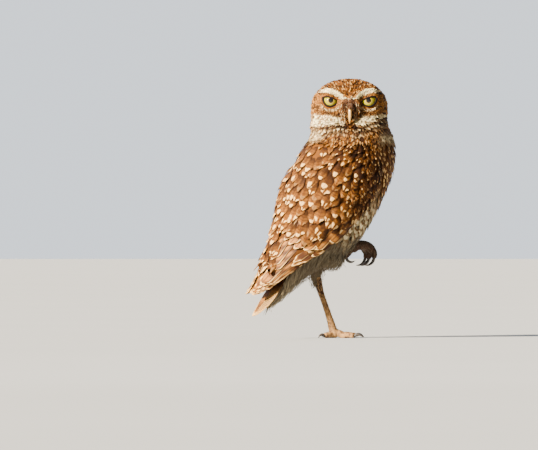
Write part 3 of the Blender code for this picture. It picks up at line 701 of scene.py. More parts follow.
def head_markings(points, colours):
    """Ground colour, strength of the pale streaks, and paleness of the head at each point."""
    local = to_head(points)
    side, front, rise = np.abs(local[:, 0]), -local[:, 1], local[:, 2]
    brown, dark, cream, buff = tones(colours, "brown", "dark", "cream", "buff")
    facing = soft_step(2, 9, front)
    ground = np.tile(brown * 1.15, (len(points), 1))
    streak = np.full(len(points), 1.0)
    # Ear coverts outside and below the eye, rusty and streaked
    ears = facing * soft_step(9.5, 5, rise) * soft_step(-12, -8, rise)
    ground = blend_to(ground, brown * 0.5 + buff * 0.7, 0.9 * ears)
    streak = streak * (1 - 0.6 * ears)
    # Pale crescent close under the eye, and the dark band below it that rises outwards
    around = np.hypot(side - EYE_SIDE, (rise - EYE_RISE) * 1.2)
    crescent = facing * bell(around, 8.2, 1.2) * soft_step(-0.5, -3.5, rise)
    ground = blend_to(ground, cream * 0.9, 0.75 * crescent)
    band = facing * bell(rise, -10.6 + 0.13 * side, 1.7) * soft_step(3, 6, side) * soft_step(32, 27, side)
    ground = blend_to(ground, dark * 1.5 + brown * 0.3, 0.85 * band)
    # Cream lower cheek, down to the collar, which hangs at the right side and rises at the left
    hanging = np.interp(-local[:, 0], COLLAR_SIDES, COLLAR_RISES)
    cheek_top = -11.2 + 0.06 * side
    cheek = facing * soft_step(cheek_top + 0.9, cheek_top - 0.9, rise) * soft_step(2.5, 5.5, side)
    cheek = cheek * soft_step(hanging - 0.2, hanging + 1.2, rise)
    ground = blend_to(ground, cream * 1.02, cheek)
    streak = streak * (1 - 0.9 * cheek)
    # Brow: a pale V from the bill's root up and out, thinner at its outer end
    low, high = np.interp(side, BROW_SIDES, BROW_LOW), np.interp(side, BROW_SIDES, BROW_HIGH)
    brow = facing * soft_step(low - 0.6, low + 0.4, rise) * soft_step(high + 0.6, high - 0.6, rise)
    brow = brow * soft_step(28, 22, side)
    ground = blend_to(ground, cream * 1.08, brow)
    streak = streak * (1 - brow)
    # Painted shadow of the brow's overhang: a dark line between the brow and the eye
    shade = facing * bell(rise, low - 1.3, 0.9) * bell(side, 15, 8)
    ground = blend_to(ground, brown * 0.7, 0.9 * np.clip(shade, 0, 1))
    # Lore between bill and eye: pale buff
    lore = facing * bell(side, 8.2, 2.2) * bell(rise, -3.0, 3.2)
    ground = blend_to(ground, cream * 0.45 + buff * 0.45, 0.8 * lore)
    # Dark patches: over the bill's root, beside it, and below the tip
    root = facing * bell(side, 0, 4.0) * bell(rise, -2.4, 2.6)
    ground = blend_to(ground, dark * 1.4, np.clip(1.6 * root, 0, 1))
    beside = facing * bell(side, 6.2, 3.0) * bell(rise, -9.5, 2.6)
    ground = blend_to(ground, dark * 1.5, np.clip(1.2 * beside, 0, 1))
    mouth = facing * bell(side, 4.5, 4.0) * bell(rise, -19.6, 2.4)
    ground = blend_to(ground, dark * 0.9, np.clip(1.3 * mouth, 0, 1))
    streak = streak * (1 - np.clip(1.3 * mouth + 1.2 * beside + 1.6 * root, 0, 1))
    # Collar: a dark line, a pale one and a second dark one under it
    for drop, width, tone, amount in ((0.5, 1.2, dark * 0.7, 1.0), (2.8, 0.8, cream, 0.85),
                                      (4.6, 1.1, dark, 0.9), (6.6, 0.9, cream * 0.8, 0.6)):
        line = facing * bell(rise, hanging - drop, width) * soft_step(1, 5, side)
        ground = blend_to(ground, tone, amount * line)
        streak = streak * (1 - 0.9 * np.clip(line, 0, 1))
    # Loose pale plumage at the sides of the neck, and speckled buff between
    fluff = soft_step(21, 29, side) * bell(rise, -27.5, 4.0) * soft_step(-14, -4, front)
    ground = blend_to(ground, cream * 0.95, 0.8 * fluff)
    below = soft_step(hanging - 5.0, hanging - 8.0, rise)
    ground = blend_to(ground, brown * 0.95, 0.6 * below * (1 - fluff))
    pale = np.clip(brow + cheek + fluff, 0, 1)
    return ground, streak * (1 - 0.6 * fluff) * (1 - 0.5 * below), pale


def body_markings(points, colours):
    """The body's ground colour, and strength of its spots, bars and streaks at each point."""
    station, angle, _ = looked_up(shared["body_table"], points)
    around = np.abs(angle)
    brown, dark, cream, down = tones(colours, "brown", "dark", "cream", "down")
    breast = soft_step(108, 130, around)
    edge = breast_edge(station)
    belly = soft_step(edge - 6, edge + 14, around) * soft_step(3.9, 5.3, station)
    vent = soft_step(edge, edge + 20, around) * soft_step(5.9, 6.8, station)
    neck = soft_step(2.5, 1.3, station)
    ground = np.tile(brown, (len(points), 1))
    ground = blend_to(ground, brown * 0.5 + dark * 0.8, 0.75 * neck * (1 - breast))
    ground = blend_to(ground, cream * 0.72, belly)
    ground = blend_to(ground, down, vent)
    ground = blend_to(ground, cream, 0.6 * breast * bell(station, 1.0, 0.5))
    spots = (1 - belly) * (1 - neck)
    return ground, spots, belly * (1 - vent), neck * (1 - breast)


def markings(points, colours):
    """Ground colour, spots, bars, streaks and paleness of the whole bird at each point."""
    ground, spots, bars, streaks = body_markings(points, colours)
    on_head, head_streaks, pale = head_markings(points, colours)
    part = soft_step(-34, -29, to_head(points)[:, 2])
    ground = blend_to(ground, on_head, part)
    return (ground, spots * (1 - part), bars * (1 - part),
            streaks * (1 - part) + head_streaks * part, pale * part)


# Paint

class Line:
    """A value that changes over a surface, so that sums on it can be written as sums."""

    def __init__(self, paint, socket):
        self.paint = paint
        self.socket = socket

    def joined(self, operation, first, second):
        return self.paint.maths(operation, first, second)

    def __add__(self, other):
        return self.joined("ADD", self, other)

    def __radd__(self, other):
        return self.joined("ADD", other, self)

    def __sub__(self, other):
        return self.joined("SUBTRACT", self, other)

    def __rsub__(self, other):
        return self.joined("SUBTRACT", other, self)

    def __mul__(self, other):
        return self.joined("MULTIPLY", self, other)

    def __rmul__(self, other):
        return self.joined("MULTIPLY", other, self)

    def __truediv__(self, other):
        return self.joined("DIVIDE", self, other)

    def __pow__(self, other):
        return self.joined("POWER", self, other)

    def __abs__(self):
        return self.joined("ABSOLUTE", self, 0.0)


class Paint:
    """A material under construction."""

    def __init__(self, name, **settled):
        self.material = bpy.data.materials.new(name)
        self.material.use_nodes = True
        self.tree = self.material.node_tree
        self.tree.nodes.clear()
        self.shader = self.tree.nodes.new("ShaderNodeBsdfPrincipled")
        output = self.tree.nodes.new("ShaderNodeOutputMaterial")
        self.tree.links.new(self.shader.outputs[0], output.inputs["Surface"])
        for label, value in settled.items():
            self.shader.inputs[label.replace("_", " ")].default_value = value

    def feed(self, socket, value):
        if isinstance(value, Line):
            self.tree.links.new(value.socket, socket)
        elif socket.type == "RGBA":
            socket.default_value = (*tuple(value)[:3], 1.0)
        elif socket.type == "VECTOR":
            socket.default_value = tuple(value)[:3]
        else:
            socket.default_value = value

    def node(self, kind, settings=None, sockets=None, output=0):
        """Adds a node: its settings first, then the values or links of its sockets."""
        added = self.tree.nodes.new(kind)
        for label, value in (settings or {}).items():
            setattr(added, label, value)
        for label, value in (sockets or {}).items():
            self.feed(added.inputs[label], value)
        return Line(self, added.outputs[output])

    def maths(self, operation, *values):
        return self.node("ShaderNodeMath", {"operation": operation}, dict(enumerate(values)))

    def mix(self, amount, first, second):
        return self.node("ShaderNodeMix", {"data_type": "RGBA"}, {0: amount, 6: first, 7: second}, 2)

    def shade(self, colour, amount):
        """A colour made lighter or darker by a number."""
        return self.node("ShaderNodeVectorMath", {"operation": "SCALE"}, {0: colour, 3: amount})

    def step(self, low, high, value):
        settings = {"interpolation_type": "SMOOTHSTEP", "clamp": True}
        return self.node("ShaderNodeMapRange", settings, {0: value, 1: low, 2: high})

    def sine(self, value):
        return self.maths("SINE", value)

    def fraction(self, value):
        return self.maths("FRACT", value)

    def greater(self, first, second):
        return self.maths("MAXIMUM", first, second)

    def attribute(self, name, output="Color"):
        return self.node("ShaderNodeAttribute", {"attribute_name": name}, {}, output)

    def split(self, value, kind="ShaderNodeSeparateColor"):
        """A colour's or a place's three parts."""
        added = self.tree.nodes.new(kind)
        self.feed(added.inputs[0], value)
        return [Line(self, output) for output in added.outputs]

    def vane_map(self):
        """The place across a feather's own map, from 0 to 1, and along it."""
        source = self.node("ShaderNodeUVMap", {"uv_map": "Vane"})
        across, along, _ = self.split(source, "ShaderNodeSeparateXYZ")
        return across, along

    def noise(self, scale, detail=3.0, rough=0.55):
        place = self.node("ShaderNodeTexCoord", output="Object")
        sockets = {"Scale": scale, "Detail": detail, "Roughness": rough, "Vector": place}
        return self.node("ShaderNodeTexNoise", None, sockets)

    def bump(self, height, strength, distance):
        sockets = {"Height": height, "Strength": strength, "Distance": distance}
        return self.node("ShaderNodeBump", None, sockets, "Normal")

    def finished(self, colour, roughness=None, normal=None):
        self.feed(self.shader.inputs["Base Color"], colour)
        if roughness is not None:
            self.feed(self.shader.inputs["Roughness"], roughness)
        if normal is not None:
            self.feed(self.shader.inputs["Normal"], normal)
        return self.material


# How each kind of small feather is marked: height, half length and half width of its spots, the share
# of feathers with a pair of them, strength of the dark rim, partly painted shade between feathers,
# of the fine dark waves, and barbs along it
FEATHER_MARKS = {
    "scapular": dict(high=0.82, long=0.13, wide=0.50, paired=0.40, edge=0.75, waves=0.45, barbs=50.0),
    "covert": dict(high=0.83, long=0.125, wide=0.50, paired=0.50, edge=0.70, waves=0.45, barbs=46.0),
    "lesser_covert": dict(high=0.84, long=0.11, wide=0.34, paired=0.15, edge=0.45, waves=0.85, barbs=30.0),
    "mantle": dict(high=0.84, long=0.13, wide=0.20, paired=0.10, edge=0.85, waves=0.35, barbs=32.0),
    "breast": dict(high=0.82, long=0.15, wide=0.50, paired=0.35, edge=0.60, waves=0.30, barbs=34.0),
    "belly": dict(high=0.84, long=0.10, wide=0.50, paired=0.20, edge=0.05, waves=0.10, barbs=30.0),
    "head": dict(high=0.84, long=0.12, wide=0.20, paired=0.0, edge=0.25, waves=0.0, barbs=14.0),
}


def feather_paint(kind, colours):
    """Plumage: spots, bars and streaks placed by the feather's own map, with fine barbs."""
    marked = FEATHER_MARKS[kind]
    paint = Paint(kind + "_feather", Roughness=0.7, Specular_IOR_Level=0.12)
    dark, pale, buff = tuple(colours.dark), tuple(colours.spot), tuple(colours.buff)
    across, along = paint.vane_map()
    side = abs(across * 2.0 - 1.0)
    spots, bars, streak = paint.split(paint.attribute("Marks"))
    chance = paint.attribute("Marks", "Alpha")
    other, third = paint.fraction(chance * 7.31), paint.fraction(chance * 19.7)
    grain = paint.noise(900.0, 2.0)
    broad = paint.noise(210.0, 3.0)
    uneven = broad - 0.5
    # A warm middle, and a dark root in the shade of the feathers above
    tone = (0.28 + 0.76 * paint.step(0.15, 0.70, along)) * (0.30 + 1.3 * broad) * (0.75 + 0.5 * grain)
    plumage = paint.attribute("Plumage")
    colour = paint.shade(plumage, tone * (0.8 + 0.4 * third))
    # Golden webs beside a darker middle on brown feathers, more on some of them
    red, _, _ = paint.split(plumage)
    golden = paint.step(0.04, 0.11, red) * (1.0 - paint.step(0.28, 0.55, red)) * (1.0 - bars)
    web = paint.step(0.2, 0.55, side) * paint.step(0.3, 0.6, along) * (0.25 + 0.4 * other) * golden
    colour = paint.mix(web * (1.0 - streak), colour, paint.shade(buff, 0.35 + 0.5 * broad))
    # Fine dark waves across the vane
    wave = paint.sine(along * marked["barbs"] * 0.8 + side * 3.0 + broad * 9.0)
    colour = paint.mix(paint.step(0.1, 0.8, wave) * (1.0 - bars) * marked["waves"], colour, dark)
    # A dark rim, broken by the noise: partly the feather's own dark edge, partly painted shade between
    # feathers
    rim = paint.greater(paint.step(0.62, 0.96, side + 0.6 * uneven), paint.step(0.90, 0.985, along))
    colour = paint.mix(rim * marked["edge"], colour, dark)
    # Pale spots, a pair or one wide one
    single = paint.step(marked["paired"] - 0.01, marked["paired"] + 0.01, other)
    middle = 0.50 * (1.0 - single)
    wide = (abs(side - middle) + 0.3 * uneven) / (marked["wide"] * (0.6 + 0.4 * single))
    high = (along - marked["high"] + 0.06 * third + 0.22 * uneven) / (marked["long"] * (0.6 + 0.6 * third))
    inside = 1.0 - paint.step(0.78, 1.15, (wide ** 4.0 + abs(high) ** 4.0) ** 0.25)
    colour = paint.mix(inside * spots, colour, paint.shade(pale, 0.68 + 0.44 * grain))
    # Bars across, a little bowed
    bar = paint.sine((along + 0.10 * side * side + 0.10 * broad) * 14.0 + chance * 3.0)
    bar = paint.step(0.15, 0.55, bar) * bars * (1.0 - paint.step(0.95, 1.0, along))
    colour = paint.mix(bar * 0.9, colour, paint.shade(tuple(colours.brown), 0.75))
    # A pale streak along the shaft on some feathers
    line = (1.0 - paint.step(0.12, 0.42, side + 0.3 * uneven)) * paint.step(0.30, 0.5, along) * streak
    line = line * (1.0 - paint.step(0.40, 0.6, other))
    colour = paint.mix(line, colour, paint.shade(pale, 0.66 + 0.3 * grain))
    shaft = 1.0 - paint.step(0.015, 0.06, side)
    colour = paint.mix(shaft * 0.5, colour, dark)
    # Barbs slant from the shaft to the edge
    barb = paint.sine((along - side * 0.42) * marked["barbs"] * 6.28 + broad * 3.0)
    colour = paint.shade(colour, 0.90 + 0.14 * barb)
    height = barb * 0.35 + shaft * 1.3 + 0.4 * grain
    return paint.finished(colour, 0.55 + 0.2 * grain, paint.bump(height, 0.6, 0.00018))


def flight_paint(name, colours, bars_along=5.0, contrast=0.85):
    """Flight and tail feathers: brown with buff bars, a pale rim and tip, and a strong dark shaft."""
    paint = Paint(name, Roughness=0.6, Specular_IOR_Level=0.18)
    dark, buff, pale = tuple(colours.dark), tuple(colours.buff), tuple(colours.spot)
    across, along = paint.vane_map()
    side = abs(across * 2.0 - 1.0)
    _, bars, notches = paint.split(paint.attribute("Marks"))
    chance = paint.attribute("Marks", "Alpha")
    grain = paint.noise(1100.0, 2.0)
    broad = paint.noise(130.0, 3.0)
    # Darker towards the root: painted shade under the feathers that overlap it
    tone = (0.5 + 0.6 * broad) * (0.82 + 0.36 * grain) * (0.62 + 0.5 * paint.step(0.3, 0.95, along))
    colour = paint.shade(paint.attribute("Plumage"), tone)
    wave = paint.sine((along + 0.06 * side + 0.05 * broad + 0.3 * chance) * bars_along * 6.2832)
    bar = paint.step(0.0, 0.6, wave) * paint.step(0.04, 0.2, side) * bars
    colour = paint.mix(bar * contrast, colour, paint.shade(buff, 0.7 + 0.5 * grain))
    shade = paint.step(0.2, 0.8, -1.0 * wave) * bars * 0.7
    colour = paint.mix(shade, colour, paint.shade(dark, 1.8))
    # The outer web of a primary has pale notches where its bars end
    notch = paint.step(0.30, 0.7, wave) * paint.step(0.45, 0.6, side) * notches
    colour = paint.mix(notch, colour, paint.shade(pale, 0.75 + 0.3 * grain))
    # Painted shade: a dark band inside the edges of all but the primaries, for the gaps between overlapping
    # feathers
    gap = paint.step(0.50, 0.80, side) * (1.0 - notches)
    colour = paint.mix(gap * 0.75, colour, dark)
    near_tip = paint.step(0.55, 0.95, along) * (1.0 - 0.5 * notches)
    rim = paint.greater(paint.step(0.84, 0.88, side + 0.05 * broad) * near_tip,
                        paint.step(0.958, 0.970, along + 0.012 * side))
    colour = paint.mix(rim, colour, paint.shade(pale, 0.55 + 0.35 * grain))
    shaft = 1.0 - paint.step(0.02, 0.06, side)
    colour = paint.mix(shaft * 0.85, colour, dark)
    barb = paint.sine((along * 2.6 - side * 0.30) * 230.0)
    colour = paint.shade(colour, 0.94 + 0.08 * barb)
    return paint.finished(colour, 0.45 + 0.2 * grain,
                          paint.bump(barb * 0.2 + shaft * 1.6, 0.5, 0.00022))


def down_paint(name):
    """Loose hair-like down: pale grey with a darker root."""
    paint = Paint(name, Roughness=0.8, Specular_IOR_Level=0.2, Sheen_Weight=0.1)
    _, along = paint.vane_map()
    grain = paint.noise(700.0, 3.0)
    tone = (0.45 + 0.6 * along) * (0.7 + 0.6 * grain)
    colour = paint.shade(paint.attribute("Plumage"), tone)
    return paint.finished(colour, 0.7 + 0.2 * grain)


def skin_paint(name):
    """Skin and the felt of small down on it, in the plumage's own colours."""
    paint = Paint(name, Roughness=0.85, Specular_IOR_Level=0.15)
    felt = paint.noise(1400.0, 4.0)
    patch = paint.noise(260.0, 3.0)
    colour = paint.shade(paint.attribute("Plumage"), 0.42 + 0.3 * felt + 0.2 * patch)
    return paint.finished(colour, 0.75 + 0.2 * felt, paint.bump(felt + patch, 0.6, 0.0004))


# Pieces

def flesh_shape(names, merge=2e-6, swell=0.32):
    """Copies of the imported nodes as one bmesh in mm, swollen a little so that their cuts close."""
    shape = bmesh.new()
    for name in names:
        shape.from_mesh(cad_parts[name].data)
    bmesh.ops.remove_doubles(shape, verts=shape.verts, dist=merge)
    bmesh.ops.scale(shape, vec=(1 / MM, 1 / MM, 1 / MM), verts=shape.verts)
    shape.normal_update()
    for vert in shape.verts:
        vert.co += vert.normal * swell
    return shape


def add_wing_bed(shape, side, depth, roof=1.5):
    """The closed bed under one wing's coverts, that deep under the wing's form.

    Between its roof's stations it reaches on over the rump to the midline, lower by roof.
    """
    grid = bmesh.ops.create_grid(shape, x_segments=BED_COLUMNS, y_segments=BED_ROWS, size=1.0)["verts"]
    places = np.array([vert.co for vert in grid])
    station = BED_END * (0.5 + 0.5 * places[:, 1])
    upper, lower, _ = wing_edges(station)
    inner = -(upper + 3.0) / (lower - upper)
    inner = inner * soft_step(ROOF_START, ROOF_START + 1.0, station)
    inner = inner * soft_step(ROOF_END, ROOF_END - 0.4, station)
    share = inner + (1 - inner) * (0.5 + 0.5 * places[:, 0])
    over = soft_step(0.05, -0.25, share)
    edge = np.where(inner < -0.02, np.maximum(places[:, 0], 0), places[:, 0])
    sink = depth + 3.0 * edge ** 8 + 4.0 * soft_step(0.5, 0.0, station)
    sink = sink + over * (roof + 4.0 * soft_step(ROOF_START + 1.6, ROOF_START + 0.2, station))
    points = wing_points(station, share, side, -sink)
    for vert, point in zip(grid, points.tolist()):
        vert.co = point
    faces = list({face for vert in grid for face in vert.link_faces})
    bmesh.ops.recalc_face_normals(shape, faces=faces)
    middle = Vector((side * 100.0, 0.0, 120.0))
    if sum(face.normal.dot(middle - face.calc_center_median()) for face in faces) < 0:
        bmesh.ops.reverse_faces(shape, faces=faces)
    bmesh.ops.solidify(shape, geom=faces, thickness=-BED_THICKNESS)


class OWL_OT_skin(bpy.types.Operator):
    """One skin for torso, neck, head and thighs, under the feathers"""

    bl_idname = "owl.skin"
    bl_label = "Skin"

    def execute(self, context):
        sizes, colours = context.scene.owl_sizes, context.scene.owl_colours
        shared["body_table"] = station_table(BODY, np.arange(-180, 180, 5))
        shared["wing_tables"] = {
            side: station_table(WINGS, np.linspace(0, 1, 21), side_of=side) for side in (-1, 1)
        }
        flesh = remeshed("skin", flesh_shape(FLESH), *SKIN_MESH)
        shared["flesh"] = points, triangles, normals = mesh_arrays(flesh)
        shared["flesh_tree"] = tree_of(points, triangles)
        local = to_head(points)
        face = soft_step(-20, -14, local[:, 2]) * soft_step(8, 16, -local[:, 1])
        depth = sizes.coat * (1 - 0.45 * face)
        flesh.vertices.foreach_set("co", ((points - normals * depth[:, None]) * MM).ravel())
        flesh.update()
        skin = object_from("skin", flesh)
        write_layer(flesh, "Plumage", markings(points, colours)[0])
        keep(skin, skin_paint("skin_felt"), "feather_brown", *FLESH)
        coat = flesh_shape(FLESH)
        for side in (-1, 1):
            add_wing_bed(coat, side, BED_COAT_DEPTH)
        coat_mesh = remeshed("coat", coat, *COAT_MESH)
        shared["coat"] = mesh_arrays(coat_mesh)
        bpy.data.meshes.remove(coat_mesh)
        shared["coat_tree"] = tree_of(*shared["coat"][:2])
        return {"FINISHED"}


def on_wing(points, reach=2.6):
    """Whether each point lies on a wing, with its station and share there."""
    best = np.full(len(points), 99.0)
    station = np.zeros(len(points))
    share = np.zeros(len(points))
    for side in (-1, 1):
        rows, shares, away = looked_up(shared["wing_tables"][side], points)
        closer = away < best
        best = np.where(closer, away, best)
        station = np.where(closer, rows, station)
        share = np.where(closer, shares, share)
    return best < reach, station, share


class OWL_OT_body_feathers(bpy.types.Operator):
    """Feathers of the mantle, back, shoulders, small wing coverts, breast and belly"""

    bl_idname = "owl.body_feathers"
    bl_label = "Body feathers"

    def regions(self, places):
        """Wing station and share, body row, and how much each place is of wrist, neck and breast."""
        winged, station, share = on_wing(places)
        row, angle, _ = looked_up(shared["body_table"], places)
        wrist = winged * soft_step(0.42, 0.66, share) * soft_step(3.5, 2.5, station)
        neck = np.where(winged, soft_step(2.1, 0.5, station), soft_step(3.8, 1.9, row))
        edge = breast_edge(row)
        breast = soft_step(edge - 8, edge + 14, np.abs(angle)) * (1 - winged)
        return winged, station, share, row, wrist, neck, breast

    def fold_shade_at(self, places, outward):
        """How much painted shade each place gets in the fold between the turned neck and the right shoulder.
        """
        start, end = np.array(NECK_FOLD_SHADE)
        reach = RIGHTWARD[0] * places[:, 0] + RIGHTWARD[1] * places[:, 1]
        flat = np.stack((reach, places[:, 2]), axis=-1)
        way = end - start
        part = np.clip(((flat - start) @ way) / (way @ way), 0, 1)
        away = np.linalg.norm(flat - start - part[:, None] * way, axis=1)
        return bell(away, 0, 1.5) * (outward @ CAMERAWARD > 0)

    def length_of(self, sizes, wrist, neck, breast):
        return sizes.back_feather * (1 - 0.46 * np.maximum(wrist, neck) - 0.26 * breast * (1 - neck))

    def execute(self, context):
        sizes, colours = context.scene.owl_sizes, context.scene.owl_colours

        def spacing(places):
            *_, wrist, neck, breast = self.regions(places)
            return (0.37 - 0.05 * neck) * self.length_of(sizes, wrist, neck, breast)

        def wanted(places, outward):
            winged, station, _, row, *_ = self.regions(places)
            local = to_head(places)
            body = (local[:, 2] < NAPE_LEVEL + 2) & (row < 8.6) & (places[:, 2] > 70)
            rump = (np.abs(places[:, 0] - STAND[0]) < RUMP_HALF) & (outward @ RUMP_TOP > 0.5)
            rump = rump & ((places - TAIL_BASE) @ RUMP_TOP > RUMP_LIFT)
            rump = rump & (places[:, 2] < RUMP_HIGHEST)
            return body & ~(winged & (station > SCATTER_END)) | rump

        roots, outward = scattered(shared["coat"], spacing, wanted, BODY_SEEDS[0])
        draw = np.random.default_rng(BODY_SEEDS[1])
        count = len(roots)
        winged, station, share, row, wrist, neck, breast = self.regions(roots)
        middle_line = np.array(BODY)[:, :2]
        axis = smooth_rows(middle_line, row + 0.25) - smooth_rows(middle_line, row - 0.25)
        ways = unit(columns(count, 0, axis[:, 0], axis[:, 1]))
        outwards = np.sign(roots[:, 0] - STAND[0]) * np.minimum(1, np.abs(roots[:, 0]) / 15)
        ways[:, 0] += 0.10 * outwards * (1 - winged)
        # The turned head draws the feathers of the neck askew
        ways = ways - (0.55 * neck * soft_step(20, -10, roots[:, 0]))[:, None] * RIGHTWARD
        ways = ways + draw.normal(0, 0.17, ways.shape)
        lengths = self.length_of(sizes, wrist, neck, breast) * draw.uniform(0.80, 1.20, count)
        lengths = lengths * (1 - 0.45 * breast * soft_step(90, 76, roots[:, 2]))
        widths = lengths * (0.58 - 0.18 * neck) * draw.uniform(0.78, 1.15, count)
        ground, spots, bars, streaks, _ = markings(roots, colours)
        brown, dark = tones(colours, "brown", "dark")
        ground[winged] = brown * (1 - 0.25 * neck[winged, None])
        spots = np.where(winged, 1 - 0.75 * wrist * (draw.random(count) < 0.55), spots)
        spots = spots * np.where(draw.random(count) < 0.27, 0.15, 1.0)
        # The pale line of spots down the wing's leading edge
        leading = winged & (share > 0.86) & (station < 3.6)
        spots = np.where(leading, 1.3, spots)
        bars = np.where(winged, 0, bars)
        marks = columns(count, spots, bars, 0.8 * streaks, draw.random(count))
        shoulder = np.where(winged, soft_step(3.4, 1.4, station), soft_step(4.4, 2.6, row)) * (1 - breast)
        ground = ground * draw.uniform(0.62, 1.30, (count, 1))
        ground = blend_to(ground, dark, 0.8 * shoulder * (draw.random(count) < 0.36))
        # Painted shade: the fold between the turned neck and the shoulder is darkened, and its spots and
        # streaks are hidden
        fold = self.fold_shade_at(roots, outward)
        ground = blend_to(ground, dark * 0.7, fold)
        marks[:, (0, 2)] *= 1 - fold[:, None]
        vane = Vane(4, 6)
        high = draw.uniform(0.0, 0.95, count) * np.where(wrist > 0.5, 0.7, 1.0)
        lifted = laid_feathers(vane, roots, ways, lengths, widths, shared["coat_tree"], -1.9, high,
                               0.07 * widths, draw.normal(0, 0.16, count))
        _, angle, _ = looked_up(shared["body_table"], roots)
        unwrap = columns(count, 0.5 + angle / 370, 0.03 + row / 12)
        belly = (breast > 0.5) & (bars > 0.4)
        kinds = np.select(
            [wrist > 0.5, belly, breast > 0.5, neck > 0.45, winged & (station > 2.9)],
            [2, 4, 3, 0, 5], 1,
        )
        pieces = (
            ("mantle_feathers", "mantle"), ("scapular_feathers", "scapular"),
            ("lesser_coverts", "lesser_covert"), ("breast_feathers", "breast"),
            ("belly_feathers", "belly"), ("middle_coverts", "covert"),
        )
        for number, (name, kind) in enumerate(pieces):
            chosen = kinds == number
            piece = feather_object(name, vane, lifted[chosen], ground[chosen], marks[chosen], unwrap[chosen])
            slot = "feather_buff" if kind == "belly" else "feather_brown"
            keep(piece, feather_paint(kind, colours), slot)
        return {"FINISHED"}


def eye_distance(local):
    """Distance in the face's plane from the nearer eye."""
    return np.hypot(np.abs(local[:, 0]) - EYE_SIDE, local[:, 2] - EYE_RISE)


def bill_distance(local):
    """Distance from the bill's upper centre line, less its radius."""
    rows = smooth_rows(UPPER_BILL, np.linspace(0, len(UPPER_BILL) - 1, 25))
    away = np.linalg.norm(local[:, None] - rows[None, :, :3], axis=-1) - rows[None, :, 3]
    return away.min(axis=1)


def head_ways(local):
    """The lie of the head's feathers: away from the bill's root, and out from each eye."""
    away = unit(local - np.array((0.0, -25.0, 3.0)))
    near = bell(eye_distance(local), 6.5, 4.5) * (local[:, 1] < -6)
    return unit(away + 1.6 * near[:, None] * unit(local - eye_middles(local, -20.0)))


class OWL_OT_head_feathers(bpy.types.Operator):
    """Feathers of the crown, brows, facial disc, cheeks and nape"""

    bl_idname = "owl.head_feathers"
    bl_label = "Head feathers"

    def execute(self, context):
        sizes, colours = context.scene.owl_sizes, context.scene.owl_colours

        def fineness(places):
            local = to_head(places)
            front = soft_step(6, 16, -local[:, 1])
            disc = front * soft_step(19, 9, eye_distance(local))
            bill = front * soft_step(13, 4, np.hypot(local[:, 0], local[:, 2] + 4))
            return np.maximum(disc, bill), front

        def length_of(fine, front):
            return sizes.crown_feather * (1.15 - 0.25 * front - 0.40 * fine)

        def spacing(places):
            return 0.34 * length_of(*fineness(places))

        def wanted(places, outward):
            local = to_head(places)
            from_eye = np.linalg.norm(local - eye_middles(local, EYE_BACK), axis=-1)
            clear = from_eye > EYE_RADIUS + 0.95
            ahead = (local[:, 1] >= -12) | (turn_z(outward, -HEAD_TURN)[:, 1] < 0.15)
            return (local[:, 2] > NAPE_LEVEL - 7) & clear & ahead & (bill_distance(local) > 0.2)

        roots, _ = scattered(shared["flesh"], spacing, wanted, HEAD_SEEDS[0])
        draw = np.random.default_rng(HEAD_SEEDS[1])
        local = to_head(roots)
        count = len(roots)
        fine, front = fineness(roots)
        ways = turn_z(head_ways(local), HEAD_TURN)
        down = soft_step(NAPE_LEVEL + 3, NAPE_LEVEL - 5, local[:, 2])[:, None]
        ways = unit(ways * (1 - down) + np.array((0.0, 0.0, -1.0)) * down)
        ways = ways + draw.normal(0, 0.09, ways.shape)
        loose = 1 + 0.45 * down[:, 0]
        lengths = length_of(fine, front) * draw.uniform(0.8, 1.2, count) * loose
        widths = lengths * (0.40 + 0.05 * front) * draw.uniform(0.85, 1.15, count)
        ground, streak, pale = head_markings(roots, colours)
        specks = draw.random(count)
        dark, brown = tones(colours, "dark", "brown")
        dotted = np.where(specks > 0.70, 0.85, 0.0) * (1 - pale)
        ground = blend_to(ground, dark * 1.1, dotted)
        flecked = (draw.random(count) < 0.16) & (local[:, 2] < 0)
        ground = blend_to(ground, brown * 0.9, 0.8 * pale * flecked)
        ground = np.minimum(ground * draw.uniform(0.75, 1.22, (count, 1)), 1.0)
        marks = columns(count, 0, 0, streak * np.where(specks > 0.70, 0.15, 0.9), draw.random(count))
        vane = Vane(2, 4)
        high = np.where(fine > 0.5, 0.15, 0.5) * draw.uniform(0.4, 1.6, count)
        lifted = laid_feathers(vane, roots, ways, lengths, widths, shared["flesh_tree"], -0.9, high,
                               0.07 * widths, draw.normal(0, 0.06, count), thick=0.12, tip=0.3,
                               pointed=0.3)
        turn = np.arctan2(local[:, 0], -local[:, 1])
        lean = np.arcsin(np.clip(local[:, 2] / np.linalg.norm(local, axis=1), -1, 1))
        unwrap = columns(count, 0.5 + turn / 6.4, 0.5 + lean / 3.3)
        paint = feather_paint("head", colours)
        facing = local[:, 1] < -3
        for name, slot, chosen in (("face_feathers", "feather_buff", facing),
                                   ("crown_feathers", "feather_brown", ~facing)):
            piece = feather_object(name, vane, lifted[chosen], ground[chosen], marks[chosen], unwrap[chosen])
            keep(piece, paint, slot)
        return {"FINISHED"}


# Tiers of the wing, from below upwards. Each has its count, half width and height at the tips, and the
# station and share of its roots and of its tips, evenly spaced from the lower edge to the upper one.
WING_TIERS = {
    "primaries": (6, 4.6, -0.2, ((5.0, 0.98), (5.1, 0.60)),
                  ((8.3, 0.99), (8.75, 0.92), (9.0, 0.82), (9.0, 0.70), (8.9, 0.56), (8.7, 0.40))),
    "secondaries": (7, 6.0, 0.7, ((4.3, 0.92), (4.4, 0.14)),
                    ((7.8, 0.88), (8.1, 0.76), (8.15, 0.60), (7.2, 0.56), (7.05, 0.42), (6.85, 0.28),
                     (6.65, 0.14))),
    "primary_coverts": (4, 3.2, 1.0, ((3.7, 1.00), (3.9, 0.88)), ((5.6, 1.01), (6.5, 0.95), (6.2, 0.86))),
    "greater_coverts": (7, 5.6, 1.2, ((3.4, 0.95), (3.5, 0.14)),
                        ((4.75, 0.98), (5.25, 0.90), (5.6, 0.78), (5.8, 0.62), (5.85, 0.46), (5.75, 0.30),
                         (5.55, 0.15))),
}


